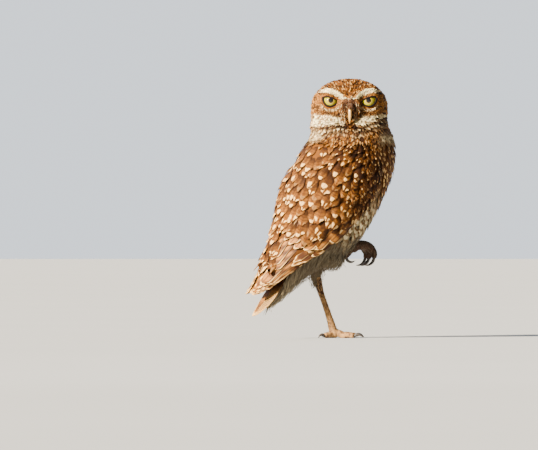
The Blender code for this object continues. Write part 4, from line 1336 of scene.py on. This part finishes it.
def tier_points(vane, side, tier, draw):
    """The points of one tier of the folded wing."""
    count, half, height, roots, tips = tier
    order = np.linspace(0, 1, count)

    def spread_along(rows):
        rows = np.array(rows)
        nodes = np.linspace(0, 1, len(rows))
        return np.interp(order, nodes, rows[:, 0]), np.interp(order, nodes, rows[:, 1])

    root, root_share = spread_along(roots)
    tip, tip_share = spread_along(tips)
    tip = tip + draw.normal(0, 0.05, count)
    x, v = vane.x, vane.v
    width, blunt = outline(v, 0.7, 0.5, 0.84)
    station = root[:, None] + (tip - root)[:, None] * (v - 0.07 * blunt * x * x)
    share = root_share[:, None] + (tip_share - root_share)[:, None] * v
    row = smooth_rows(WINGS, station)
    upper, lower, bed = wing_edges(station)
    spread = np.degrees(x * width * half * 2 / (row[..., 3] + row[..., 4]))
    stacked = 0.03 * np.arange(count)[:, None]
    rise = -2.2 + (height + 2.2) * v ** 0.9 + (0.24 * x * half - 0.3 * x * x) * v + stacked * v
    lift = bed + rise - vane.layer * (0.5 - 0.25 * v)
    return form_points(WINGS, station, upper + (lower - upper) * share + spread, side, lift)


class OWL_OT_wings(bpy.types.Operator):
    """Both folded wings: beds, coverts, secondaries and primaries"""

    bl_idname = "owl.wings"
    bl_label = "Wings"

    def execute(self, context):
        colours = context.scene.owl_colours
        brown, buff, dark = tones(colours, "brown", "buff", "dark")
        paints = {
            "primaries": flight_paint("primary_feather", colours, 7.0),
            "secondaries": flight_paint("secondary_feather", colours, 5.0, 0.7),
            "primary_coverts": flight_paint("primary_covert", colours, 3.0, 0.6),
            "greater_coverts": flight_paint("greater_covert", colours, 3.0, 0.6),
        }
        bed_paint = skin_paint("wing_felt")
        draw = np.random.default_rng(WING_SEED)
        for side, label in ((-1, "right"), (1, "left")):
            shape = bmesh.new()
            add_wing_bed(shape, side, BED_DEPTH)
            bed = object_from_bmesh("wing_bed_" + label, shape)
            write_layer(bed.data, "Plumage", np.tile(0.6 * brown, (len(bed.data.vertices), 1)))
            keep(bed, bed_paint, "feather_brown", "wing_" + label)
            for name, tier in WING_TIERS.items():
                count = tier[0]
                vane = Vane(6, 24)
                points = tier_points(vane, side, tier, draw)
                ground = np.tile(brown * 1.1, (count, 1))
                if name == "primary_coverts":
                    ground = np.tile(0.5 * brown + 0.5 * dark, (count, 1))
                if name in ("secondaries", "greater_coverts"):
                    ground = blend_to(ground, buff, np.full(count, 0.25))
                ground = ground * draw.uniform(0.8, 1.12, (count, 1))
                marks = columns(count, 0, 1, name.startswith("primar"), draw.random(count))
                piece = feather_object(f"{name}_{label}", vane, points, ground, marks, **strip_map(count))
                keep(piece, paints[name], "feather_brown")
        return {"FINISHED"}


# Rows of the tail, from below upwards: count, rows of the vane, gap, start along the tail, length of
# the middle feather and how fast the others shorten, half width, and height over the tail
TAIL_ROWS = {
    "tail_feathers": (12, 22, 1.0, 0.0, TAIL_LENGTH, 0.36, 4.7, 0.0),
    "tail_coverts": (9, 12, 1.0, -6.0, 46, 0.8, 4.6, 1.3),
    "rump_feathers": (8, 14, 1.7, 2.0, 58, 0.8, 6.0, 13.2),
}


class OWL_OT_tail(bpy.types.Operator):
    """Twelve overlapping tail feathers and the coverts over their roots"""

    bl_idname = "owl.tail"
    bl_label = "Tail"

    def execute(self, context):
        colours = context.scene.owl_colours
        brown, buff = tones(colours, "brown", "buff")
        draw = np.random.default_rng(TAIL_SEED)
        grounds = {
            "tail_feathers": (brown * 0.55 + buff * 0.35, 0.85, 0.2),
            "tail_coverts": (brown * 0.9, 0.8, 1.0),
            "rump_feathers": (brown, 0.8, 1.0),
        }
        for name, (count, steps, gap, start, longest, taper, half, above) in TAIL_ROWS.items():
            tone, darkest, chance = grounds[name]
            order = np.arange(count) - (count - 1) / 2
            ground = varied(draw, tone, count, darkest, 1.1)
            spotted = name == "tail_coverts"
            marks = columns(count, spotted, not spotted, 0, draw.random(count) * chance)
            piece = self.row(name, Vane(6, steps), gap * order, start, longest - taper * order ** 2,
                             half, above, ground, marks)
            if spotted:
                keep(piece, feather_paint("covert", colours), "feather_brown")
            elif name == "tail_feathers":
                keep(piece, flight_paint("tail_feather", colours, 4.0, 0.75), "feather_buff", "tail")
            else:
                keep(piece, flight_paint("rump_feather", colours, 4.0, 0.7), "feather_brown")
        return {"FINISHED"}

    def row(self, name, vane, order, start, length, half, above, ground, marks):
        """A fan of feathers on the tail's own fall, the middle ones on top."""
        x, v = vane.x, vane.v
        blunt = np.clip((v - 0.72) / 0.28, 0, 1)
        half = half * (0.6 + 0.4 * np.minimum(1, 2 * v)) * (1 - 0.5 * blunt ** 2)
        reach = start + length[:, None] * (v - 0.05 * blunt * x * x)
        across = order[:, None] * (0.75 + 0.62 * reach / TAIL_LENGTH) + x * half
        lift = 2.4 + above * np.minimum(1, 0.45 + v) - 0.48 * np.abs(order)[:, None] - 0.012 * across ** 2
        lift = lift - vane.layer * 0.45 * (1 - 0.3 * v)
        points = TAIL_BASE + TAIL_FALL * reach[..., None] + TAIL_TOP * lift[..., None]
        points = points + ACROSS * across[..., None]
        return feather_object(name, vane, points, ground, marks, **strip_map(len(order)))


class OWL_OT_down(bpy.types.Operator):
    """Loose down about the thighs and under the tail"""

    bl_idname = "owl.down"
    bl_label = "Down"

    def execute(self, context):
        sizes, colours = context.scene.owl_sizes, context.scene.owl_colours

        def low_part(places):
            row, angle, _ = looked_up(shared["body_table"], places)
            under = soft_step(110, 140, np.abs(angle)) * soft_step(5.6, 6.6, row)
            thigh = soft_step(88, 80, places[:, 2])
            return np.maximum(under, thigh)

        def spacing(places):
            return np.full(len(places), DOWN_GAP)

        def wanted(places, outward):
            return (low_part(places) > 0.5) & (places[:, 2] > DOWN_LOWEST)

        roots, outward = scattered(shared["flesh"], spacing, wanted, DOWN_SEEDS[0])
        draw = np.random.default_rng(DOWN_SEEDS[1])
        count = len(roots)
        way = np.array((0.0, 0.35, -1.0)) + 0.25 * outward + draw.normal(0, 0.14, (count, 3))
        leg = soft_step(72, 58, roots[:, 2]) * soft_step(40, 30, roots[:, 1])
        lengths = sizes.down_lock * (1 - 0.6 * leg) * draw.uniform(0.6, 1.2, count)
        widths = 0.075 * lengths
        down, dark = tones(colours, "down", "dark")
        ground = varied(draw, down, count, 0.7, 1.15)
        # Painted shade: the down about the thighs is darkened; towards the tail the down is paler
        ground = blend_to(ground, dark * 2.0, 0.55 * leg)
        ground = ground * (1 + 0.9 * soft_step(38, 52, roots[:, 1]))[:, None]
        vane = Vane(2, 5)
        lifted = laid_feathers(vane, roots, way, lengths, widths, shared["flesh_tree"], -1.2,
                               draw.uniform(0.2, 2.2, count), 0.03 * widths, thick=0.14,
                               root_width=0.8, tip=0.12, pointed=0.1)
        _, angle, _ = looked_up(shared["body_table"], roots)
        unwrap = columns(count, 0.5 + angle / 370, np.clip(roots[:, 2] / 130, 0, 1))
        piece = feather_object("down", vane, lifted, ground, np.zeros((count, 4)), unwrap)
        paint = down_paint("down")
        keep(piece, paint, "feather_buff")
        self.vent(colours, draw, paint)
        return {"FINISHED"}

    def vent(self, colours, draw, paint):
        """Long loose locks that hang under the tail's root."""
        count, tufts = VENT_LOCKS, VENT_TUFTS
        tuft = draw.integers(0, tufts, count)
        across = draw.uniform(-12, 12, tufts)[tuft] + draw.normal(0, 1.3, count)
        along = draw.uniform(-12, 22, tufts)[tuft] + draw.normal(0, 1.6, count)
        roots = TAIL_BASE + TAIL_FALL * along[:, None] + ACROSS * across[:, None]
        roots = roots - (0.0, 0.0, 3.5)
        lean = draw.normal(0, 0.22, (tufts, 3))[tuft] + draw.normal(0, 0.08, (count, 3))
        ways = unit(columns(count, 0.012 * across, 0.22, -1.0) + lean)
        sides = unit(np.cross(ways, draw.normal(0, 1, (count, 3))))
        lengths = draw.uniform(9, 27, tufts)[tuft] * draw.uniform(0.7, 1.1, count)
        lengths = lengths * np.maximum(0.2, 1 - (across / 17) ** 2) * soft_step(30, 4, along)
        vane = Vane(2, 6)
        curl = draw.normal(0, 0.10, count)[:, None] * lengths[:, None] * vane.v ** 2
        points = hairs(vane, roots, ways, sides, lengths, 0.42 * (1 - 0.8 * vane.v), curl)
        down, = tones(colours, "down")
        ground = varied(draw, down * 2.2, count, 0.6, 1.2)
        unwrap = columns(count, 0.5 + across / 60, 0.1 + along / 120 + 0.1)
        piece = feather_object("vent_down", vane, points, ground, np.zeros((count, 4)), unwrap)
        keep(piece, paint, "feather_buff")


def closed_curve(points, count):
    """Points on a smooth closed curve through the given ones."""
    points = np.asarray(points, float)
    total = len(points)
    where = np.arange(count) * total / count
    first = where.astype(int)
    part = (where - first)[:, None]
    return curve_between(*(points[(first + k) % total] for k in (-1, 0, 1, 2)), part)


class OWL_OT_eyes(bpy.types.Operator):
    """Both eyes with iris and pupil, and the dark lids round them"""

    bl_idname = "owl.eyes"
    bl_label = "Eyes"

    def execute(self, context):
        colours = context.scene.owl_colours
        eye_paint = self.eye_paint(colours)
        lid_paint = self.lid_paint(colours)
        for side, label in ((-1, "right"), (1, "left")):
            centre = np.array((side * EYE_SIDE, EYE_BACK, EYE_RISE))
            shape = bmesh.new()
            forward = Matrix.Rotation(math.radians(90), 3, "X")
            bmesh.ops.create_uvsphere(shape, u_segments=64, v_segments=48, radius=EYE_RADIUS)
            bmesh.ops.rotate(shape, verts=shape.verts, cent=(0, 0, 0), matrix=forward)
            away = np.array([math.hypot(vert.co.x, vert.co.z - IRIS_RISE) for vert in shape.verts])
            ahead = np.array([vert.co.y < 0 for vert in shape.verts])
            for vert in shape.verts:
                flat = math.hypot(vert.co.x, vert.co.z) / CORNEA_RADIUS
                bulge = CORNEA_BULGE * max(0.0, 1 - flat ** 2)
                vert.co.y -= bulge if vert.co.y < 0 else 0.0
                vert.co = from_head(np.array(vert.co) + centre).tolist()
            eye = object_from_bmesh("eyeball_" + label, shape)
            write_layer(eye.data, "Reach", np.where(ahead, away, 2 * EYE_RADIUS - away))
            keep(eye, eye_paint, "eye", "eye_" + label)
            self.lids(side, label, centre, lid_paint)
        return {"FINISHED"}

    def lids(self, side, label, centre, paint):
        """A rolled dark edge on the eyeball, then skin out to the face."""
        edge = closed_curve(EYE_OPENING, LID_STEPS)
        outward = unit(edge - edge.mean(0))
        shape = bmesh.new()
        rings, rims = [], []
        for offset, radius, rim in LID_RINGS:
            flat = edge + outward * offset
            depth = np.sqrt(radius ** 2 - (flat ** 2).sum(1)) if radius else 4.0
            local = columns(LID_STEPS, side * flat[:, 0], -depth, flat[:, 1]) + centre
            if not radius:
                local = self.on_face(local)
            rings.append(add_ring(shape, from_head(local)))
            rims.extend([rim] * LID_STEPS)
        close_rings(shape, rings, cap=False)
        shape.normal_update()
        faces = shape.faces[:]
        look = Vector(turn_z(np.array((0.0, -1.0, 0.0)), HEAD_TURN).tolist())
        if sum(face.normal.dot(look) for face in faces) < 0:
            bmesh.ops.reverse_faces(shape, faces=faces)
        bmesh.ops.solidify(shape, geom=faces, thickness=LID_THICKNESS)
        lid = object_from_bmesh("lids_" + label, shape)
        write_layer(lid.data, "Rim", (rims + rims)[:len(lid.data.vertices)])
        keep(lid, paint, "feather_buff")

    def on_face(self, local):
        """Moves points straight back onto the face."""
        start = local.copy()
        start[:, 1] = -60.0
        return to_head(cast_back(shared["flesh_tree"], start)) + (0.0, 0.55, 0.0)

    def eye_paint(self, colours):
        paint = Paint("eye", Roughness=0.4, Coat_Weight=0.6, Coat_Roughness=0.02, Specular_IOR_Level=0.05)
        reach = paint.attribute("Reach", "Fac")
        fibre = paint.noise(1500.0, 3.0)
        iris = paint.shade(tuple(colours.iris), 0.86 + 0.3 * fibre)
        iris = paint.mix(paint.step(5.2, IRIS_RADIUS, reach) * 0.7, iris, IRIS_RIM)
        inner = 1.0 - paint.step(PUPIL_RADIUS + 0.05, PUPIL_RADIUS + 0.7, reach)
        iris = paint.mix(inner, iris, IRIS_INNER)
        pupil = 1.0 - paint.step(PUPIL_RADIUS - 0.15, PUPIL_RADIUS + 0.1, reach)
        dark = paint.greater(pupil, paint.step(IRIS_RADIUS, IRIS_RADIUS + 0.4, reach))
        return paint.finished(paint.mix(dark, iris, PUPIL_BLACK))

    def lid_paint(self, colours):
        paint = Paint("lids", Roughness=0.8, Specular_IOR_Level=0.08)
        rim = paint.attribute("Rim", "Fac")
        grain = paint.noise(1600.0, 3.0)
        skin = paint.shade(tuple(colours.brown), 0.6 + 0.5 * grain)
        colour = paint.mix(paint.step(0.15, 0.7, rim), skin, LID_RIM)
        return paint.finished(colour, 0.7 + 0.2 * grain, paint.bump(grain, 0.3, 0.0002))


class OWL_OT_bill(bpy.types.Operator):
    """Upper and lower bill with nostrils, and the bristles round them"""

    bl_idname = "owl.bill"
    bl_label = "Bill"

    def execute(self, context):
        colours = context.scene.owl_colours
        upper = bmesh.new()
        add_tube(upper, UPPER_BILL, 56, 36, self.ridged, from_head)
        for vert in upper.verts:
            local = to_head(np.array((vert.co,)))[0]
            hollow = np.array((math.copysign(NOSTRIL[0], local[0]), NOSTRIL[1], NOSTRIL[2]))
            near = math.exp(-np.linalg.norm(local - hollow) ** 2)
            vert.co -= vert.normal * NOSTRIL_DEPTH * near
        local = to_head(np.array([vert.co for vert in upper.verts]))
        # Darker flanks, partly the horn's own colour and partly painted shade, and a darker root, painted
        # shade under the feathers
        flank_and_shade = np.abs(local[:, 0]) + 2.5 * soft_step(-5.5, -3.0, local[:, 2])
        piece = object_from_bmesh("bill_upper_horn", upper)
        write_layer(piece.data, "Flank", flank_and_shade)
        keep(piece, self.horn_paint(colours), "bill_horn", "bill_upper")
        lower = bmesh.new()
        add_tube(lower, LOWER_BILL, 30, 28, None, from_head)
        piece = object_from_bmesh("bill_lower_horn", lower)
        keep(piece, piece_paint("bill_lower_horn", colours.horn, colours.dark), "bill_horn",
             "bill_lower")
        self.muzzle(colours)
        self.bristles(colours)
        return {"FINISHED"}

    def ridged(self, station, turns):
        """The bill's section: narrow, with a ridge along its upper side."""
        return 0.80 + 0.17 * np.cos(2 * turns) + 0.05 * np.cos(turns) ** 8

    def horn_paint(self, colours):
        paint = Paint("bill_upper_horn", Roughness=0.34, Coat_Weight=0.2, Specular_IOR_Level=0.45)
        grain = paint.noise(700.0, 4.0)
        layers = paint.noise(180.0, 3.0)
        colour = paint.shade(tuple(colours.horn), 0.62 + 0.4 * layers + 0.2 * grain)
        # Flanks and root darkened: partly the horn's own colour, partly painted shade
        flank_and_shade = paint.step(0.8, 1.9, paint.attribute("Flank", "Fac") + 0.4 * layers)
        colour = paint.mix(flank_and_shade * 0.85, colour, paint.shade(tuple(colours.dark), 2.0))
        return paint.finished(colour, 0.28 + 0.2 * grain, paint.bump(grain, 0.2, 0.0002))

    def muzzle(self, colours):
        """Short dark feathers over the bill's root, draped on face and bill."""
        tube = bmesh.new()
        add_tube(tube, UPPER_BILL, 24, 24, self.ridged, from_head)
        bmesh.ops.triangulate(tube, faces=tube.faces)
        tube.verts.index_update()
        points, triangles, _ = shared["flesh"]
        joined = np.concatenate((points, np.array([vert.co for vert in tube.verts])))
        corners = np.array([[vert.index for vert in face.verts] for face in tube.faces])
        tree = BVHTree.FromPolygons(joined.tolist(),
                                    np.concatenate((triangles, corners + len(points))).tolist())
        tube.free()
        draw = np.random.default_rng(MUZZLE_SEED)
        across, down = np.meshgrid(np.linspace(-6.5, 6.5, 21), np.linspace(3.4, -7.5, 18))
        across = (across + draw.normal(0, 0.3, across.shape)).ravel()
        down = (down + draw.normal(0, 0.3, down.shape)).ravel()
        bare = (np.abs(across) < 1.9) & (down < -3.2)
        across, down = across[~bare], down[~bare]
        count = len(across)
        roots = cast_back(tree, columns(count, across, -42.0, down))
        ways = columns(count, 0.10 * across, -0.5, -1.0)
        ways = turn_z(ways + draw.normal(0, 0.15, (count, 3)), HEAD_TURN)
        lengths = draw.uniform(3.4, 5.2, count)
        dark, brown, buff = tones(colours, "dark", "brown", "buff")
        ground = np.tile(0.9 * dark + 0.35 * brown, (count, 1))
        ground = blend_to(ground, 0.8 * buff + 0.2 * brown,
                          soft_step(4.0, 6.0, np.abs(across)) * soft_step(-6, -2, down) * 0.8)
        ground = ground * draw.uniform(0.6, 1.35, (count, 1))
        vane = Vane(2, 5)
        lifted = laid_feathers(vane, roots, ways, lengths, draw.uniform(1.0, 1.7, count), tree, -0.4,
                               draw.uniform(0.5, 1.5, count), 0.05, thick=0.12, tip=0.2, pointed=0.3)
        unwrap = columns(count, 0.5 + 0.03 * across, 0.5 + down / 40)
        marks = columns(count, 0, 0, 0, draw.random(count))
        piece = feather_object("muzzle_feathers", vane, lifted, ground, marks, unwrap)
        keep(piece, down_paint("muzzle_feather"), "feather_brown")

    def bristles(self, colours):
        """Fine bristles that curve forward and down beside the bill."""
        draw = np.random.default_rng(BRISTLE_SEED)
        count = BILL_BRISTLES
        side = np.where(draw.random(count) < 0.5, -1, 1)
        rise = draw.uniform(-14, 0.5, count)
        out = draw.uniform(2.6, 7.6, count)
        local = columns(count, side * out, -40.0, rise)
        roots = to_head(cast_back(shared["flesh_tree"], local))
        vane = Vane(2, 6)
        ways = unit(columns(count, side * draw.uniform(-0.25, 0.45, count),
                            draw.uniform(-1.0, -0.35, count), draw.uniform(-1.3, -0.4, count)))
        sides = unit(np.cross(ways, (0.2, 1.0, 0.1)))
        lengths = draw.uniform(4.0, 8.5, count) * np.clip((rise + 20) / 14, 0.4, 1)
        sag = -0.12 * lengths[:, None] * vane.v ** 2
        points = hairs(vane, roots, ways, sides, lengths, 0.17 * (1 - 0.75 * vane.v), sag)
        points = points + np.array((0.0, 0.6, 0.0))
        dark, brown, buff, cream = tones(colours, "dark", "brown", "buff", "cream")
        ground = np.tile(0.8 * dark + 0.4 * brown, (count, 1))
        ground = blend_to(ground, buff, 0.9 * (draw.random(count) < 0.45) * (rise < -4))
        ground = blend_to(ground, cream, 0.8 * (draw.random(count) < 0.2))
        unwrap = columns(count, 0.5 + 0.05 * local[:, 0], 0.5 + local[:, 2] / 40)
        piece = feather_object("bristles", vane, from_head(points), ground, np.zeros((count, 4)), unwrap)
        keep(piece, down_paint("bristle"), "feather_brown")


def piece_paint(name, pale, dark, scale=420.0, gloss=0.4):
    """Skin or horn that mottles between two colours."""
    paint = Paint(name, Roughness=gloss, Specular_IOR_Level=0.4)
    blotch = paint.noise(scale, 4.0)
    grain = paint.noise(2200.0, 2.0)
    colour = paint.mix(paint.step(0.42, 0.68, blotch), tuple(pale), paint.shade(tuple(dark), 2.2))
    return paint.finished(paint.shade(colour, 0.8 + 0.4 * grain), gloss + 0.2 * grain,
                          paint.bump(grain + blotch, 0.4, 0.0003))


def standing_toe_path(name):
    """A toe flat on the floor, and the claw beyond it that meets the floor with its tip."""
    heading, reaches, heights, radii, claw = STANDING_TOES[name]
    turn = math.radians(heading)
    way = np.array((math.sin(turn), -math.cos(turn), 0.0))
    rows = [(*(STANDING_PAD + way * reach)[:2], high, radius)
            for reach, high, radius in zip(reaches, heights, radii)]
    rows = np.array(rows)
    rows[:, :3] += STAND
    end = reaches[-1]
    low = heights[-1]
    bends = ((-0.16, low), (0.12, low), (0.34, low + 0.7), (0.68, low + 0.2), (1.0, 0.42))
    sizes = (1.3, 1.45, 1.4, 0.9, 0.18)
    claw_rows = []
    for (part, high), radius in zip(bends, sizes):
        place = STANDING_PAD + way * (end + part * claw)
        claw_rows.append((place[0] + STAND[0], place[1] + STAND[1], high, radius))
    return rows, np.array(claw_rows)


def raised_toe_path(name):
    """A toe of the clenched foot and its claw."""
    start, spread = RAISED_TOES[name]
    hind = name == "hind"
    path = RAISED_HIND if hind else RAISED_FRONT
    claw = RAISED_HIND_CLAW if hind else RAISED_FRONT_CLAW
    radii = (3.7, 3.3, 2.9, 1.8) if hind else (4.1, 4.0, 3.6, 3.0, 1.8)
    rows = [(start + spread * k / (len(path) - 1) + STAND[0], y + STAND[1], z, radius)
            for k, ((y, z), radius) in enumerate(zip(path, radii))]
    sizes = (1.35, 1.35, 0.9, 0.2)
    claw_rows = [(start + spread + STAND[0], y + STAND[1], z, radius)
                 for (y, z), radius in zip(claw, sizes)]
    return np.array(rows), np.array(claw_rows)


class OWL_OT_legs(bpy.types.Operator):
    """Tarsi, toes and claws of both legs, with the short bristles on them"""

    bl_idname = "owl.legs"
    bl_label = "Legs"

    def execute(self, context):
        colours = context.scene.owl_colours
        claw_paint = piece_paint("claw_horn", CLAW_PALE, CLAW_DARK, 300.0, 0.3)
        # Painted shade: the raised foot's skin is a darkened copy of the standing one's
        skins = {"left": colours.leg, "right": tuple(RAISED_SHADE_TONE * part for part in colours.leg)}
        legs = (
            ("left", STANDING_SHANK, standing_toe_path, 4.4, STANDING_PAD + STAND + (0, 0, 4.3)),
            ("right", RAISED_SHANK, raised_toe_path, 4.9, np.array((-13.0, -11.8, 79.6)) + STAND),
        )
        for label, shank, toe_path, pad, pad_centre in legs:
            shape = bmesh.new()
            rows = np.array(shank, float)
            rows[:, :3] += STAND
            add_tube(shape, rows, 40, 20, self.scuted)
            ball = bmesh.ops.create_uvsphere(shape, u_segments=24, v_segments=16, radius=pad)["verts"]
            bmesh.ops.translate(shape, verts=ball, vec=pad_centre.tolist())
            for name in ("middle", "inner", "outer", "hind"):
                toe, claw = toe_path(name)
                add_tube(shape, toe, 34, 16, self.scuted)
                horn = bmesh.new()
                add_tube(horn, claw, 22, 14)
                piece = object_from_bmesh(f"claw_{label}_{name}_horn", horn)
                keep(piece, claw_paint, "claw_horn", f"claw_{label}_{name}")
            leg = object_from("leg_skin_" + label, remeshed("leg_" + label, shape, *LEG_MESH))
            paint = piece_paint("leg_skin_" + label, skins[label], colours.dark, 330.0, 0.6)
            keep(leg, paint, "tarsus_skin", "tarsus_" + label, "foot_" + label)
            self.bristles(leg, label, colours)
        return {"FINISHED"}

    def scuted(self, station, turns):
        """Rings of low scales round a toe or shank."""
        return 1 + 0.035 * math.sin(station * 24.0) * (0.5 + 0.5 * np.cos(turns)) ** 2

    def bristles(self, leg, label, colours):
        """Short bristles down the tarsus and along the toes."""
        surface = mesh_arrays(leg.data)
        tree = tree_of(*surface[:2])

        def spacing(places):
            return np.full(len(places), BRISTLE_GAP)

        def wanted(places, outward):
            return (outward[:, 2] > -0.75) & (places[:, 2] > BRISTLE_LOWEST)

        roots, _ = scattered(surface, spacing, wanted, LEG_SEEDS[0])
        draw = np.random.default_rng(LEG_SEEDS[1])
        count = len(roots)
        ways = np.array((0.0, -0.25, -1.0)) + draw.normal(0, 0.2, (count, 3))
        shank = roots[:, 2] > 9 if label == "left" else np.ones(count, bool)
        pad = STANDING_PAD + STAND
        ways[~shank] = unit(roots[~shank] - pad)
        lengths = draw.uniform(1.6, 3.2, count) * np.where(shank, 1.15, 0.75)
        vane = Vane(2, 3)
        lifted = laid_feathers(vane, roots, ways, lengths, 0.26 * lengths, tree, -0.15,
                               draw.uniform(0.1, 0.5, count), 0.02 * lengths, thick=0.1, tip=0.15)
        leg_colour, dark = tones(colours, "leg", "dark")
        # Painted shade: the raised foot's bristles are darkened
        if label == "right":
            leg_colour = RAISED_BRISTLE_SHADE_TONE * leg_colour
        ground = varied(draw, leg_colour * 1.25, count, 0.7, 1.3)
        # Painted shade: bristles darken up the standing tarsus towards the body and all over the raised
        # foot; a few more are dark by chance
        high = soft_step(22, 44, roots[:, 2]) if label == "left" else np.full(count, 0.8)
        ground = blend_to(ground, dark * 1.2, np.clip(high + 0.5 * (draw.random(count) < 0.3), 0, 1))
        unwrap = columns(count, 0.5 + 0.012 * (roots[:, 0] - pad[0]), np.clip(roots[:, 2] / 90, 0, 1))
        piece = feather_object("leg_bristles_" + label, vane, lifted, ground, np.zeros((count, 4)), unwrap)
        keep(piece, down_paint("leg_bristle_" + label), "tarsus_skin")


class OWL_OT_stage(bpy.types.Operator):
    """Pale floor, soft studio light and the photo's camera"""

    bl_idname = "owl.stage"
    bl_label = "Stage"

    def execute(self, context):
        floor = bmesh.new()
        bmesh.ops.create_circle(floor, cap_ends=True, segments=96, radius=FLOOR_RADIUS)
        piece = object_from_bmesh("floor", floor)
        paint = Paint("floor_paint", Roughness=0.9, Specular_IOR_Level=0.1)
        piece.data.materials.append(paint.finished(paint.mix(paint.noise(3.0), *FLOOR_TONES)))
        back = np.array((math.sin(CAMERA_TURN), -math.cos(CAMERA_TURN), 0.0))
        right = np.array((math.cos(CAMERA_TURN), math.sin(CAMERA_TURN), 0.0))
        up = np.array((0.0, 0.0, 1.0))
        context.scene.world = self.studio(-back)

        def way_of(shares):
            return shares[0] * right + shares[1] * back + shares[2] * up

        self.sun(way_of(SUN_WAY))
        for name, (way, away, power, size, colour) in LAMPS.items():
            self.lamp(name, away * way_of(way), power, size, colour)
        self.camera(back, right, up)
        return {"FINISHED"}

    def studio(self, bright):
        """A pale surround, brightest in the given direction."""
        world = bpy.data.worlds.new("studio")
        world.use_nodes = True
        nodes, links = world.node_tree.nodes, world.node_tree.links
        place = nodes.new("ShaderNodeTexCoord")
        along = nodes.new("ShaderNodeVectorMath")
        along.operation = "DOT_PRODUCT"
        along.inputs[1].default_value = bright.tolist()
        strength = nodes.new("ShaderNodeMapRange")
        strength.interpolation_type = "SMOOTHSTEP"
        for socket, value in SKY_RANGE.items():
            strength.inputs[socket].default_value = value
        links.new(place.outputs["Generated"], along.inputs[0])
        links.new(along.outputs["Value"], strength.inputs["Value"])
        links.new(strength.outputs["Result"], nodes["Background"].inputs["Strength"])
        nodes["Background"].inputs["Color"].default_value = SKY_COLOUR
        return world

    def sun(self, towards):
        """The key light, far off in the given direction."""
        lamp = bpy.data.lights.new("key", "SUN")
        lamp.energy, lamp.angle, lamp.color = SUN_STRENGTH, math.radians(SUN_SPREAD), SUN_COLOUR
        obj = object_from("key", lamp)
        obj.rotation_euler = Vector(towards.tolist()).to_track_quat("Z", "Y").to_euler()

    def lamp(self, name, offset, power, size, colour):
        """An area light that looks at the middle of the bird."""
        lamp = bpy.data.lights.new(name, "AREA")
        lamp.energy, lamp.size, lamp.color = power, size, colour
        obj = object_from(name, lamp)
        aim = Vector(LAMP_AIM)
        obj.location = Vector(offset.tolist()) + aim
        obj.rotation_euler = (aim - obj.location).to_track_quat("-Z", "Y").to_euler()

    def camera(self, back, right, up):
        """The photo's camera, level, with the standing foot where the photo has it."""
        width = PHOTO_SIZE[0] * PIXEL * MM
        lens = bpy.data.cameras.new("camera")
        lens.sensor_width = SENSOR
        lens.lens = SENSOR / (2 * math.tan(math.atan(width / 2 / CAMERA_AWAY)))
        lens.clip_end = 200.0
        across = (PHOTO_SIZE[0] / 2 - FOOT_PIXEL[0]) * PIXEL * MM
        high = (FOOT_PIXEL[1] - PHOTO_SIZE[1] / 2) * PIXEL * MM
        obj = object_from("camera", lens)
        obj.location = (right * across + up * high + back * CAMERA_AWAY).tolist()
        obj.rotation_euler = (math.radians(90), 0.0, CAMERA_TURN)
        bpy.context.scene.camera = obj


class OWL_PT_owl(bpy.types.Panel):
    """The owl's pieces, in the order in which they are made"""

    bl_label = "Owl"
    bl_idname = "OWL_PT_owl"
    bl_space_type = "VIEW_3D"
    bl_region_type = "UI"
    bl_category = "Owl"

    def draw(self, context):
        layout = self.layout
        for name in OwlSizes.__annotations__:
            layout.prop(context.scene.owl_sizes, name)
        for name in OwlColours.__annotations__:
            layout.prop(context.scene.owl_colours, name)
        for operator in OPERATORS:
            layout.operator(operator.bl_idname)


OPERATORS = (
    OWL_OT_skin,
    OWL_OT_body_feathers,
    OWL_OT_head_feathers,
    OWL_OT_wings,
    OWL_OT_tail,
    OWL_OT_down,
    OWL_OT_eyes,
    OWL_OT_bill,
    OWL_OT_legs,
    OWL_OT_stage,
)
CLASSES = (OwlColours, OwlSizes, *OPERATORS, OWL_PT_owl)


def register():
    for cls in CLASSES:
        bpy.utils.register_class(cls)
    bpy.types.Scene.owl_colours = PointerProperty(type=OwlColours)
    bpy.types.Scene.owl_sizes = PointerProperty(type=OwlSizes)


def unregister():
    del bpy.types.Scene.owl_sizes
    del bpy.types.Scene.owl_colours
    for cls in reversed(CLASSES):
        bpy.utils.unregister_class(cls)


def main():
    register()
    for operator in OPERATORS:
        group, name = operator.bl_idname.split(".")
        getattr(getattr(bpy.ops, group), name)()


if __name__ == "__main__":
    main()
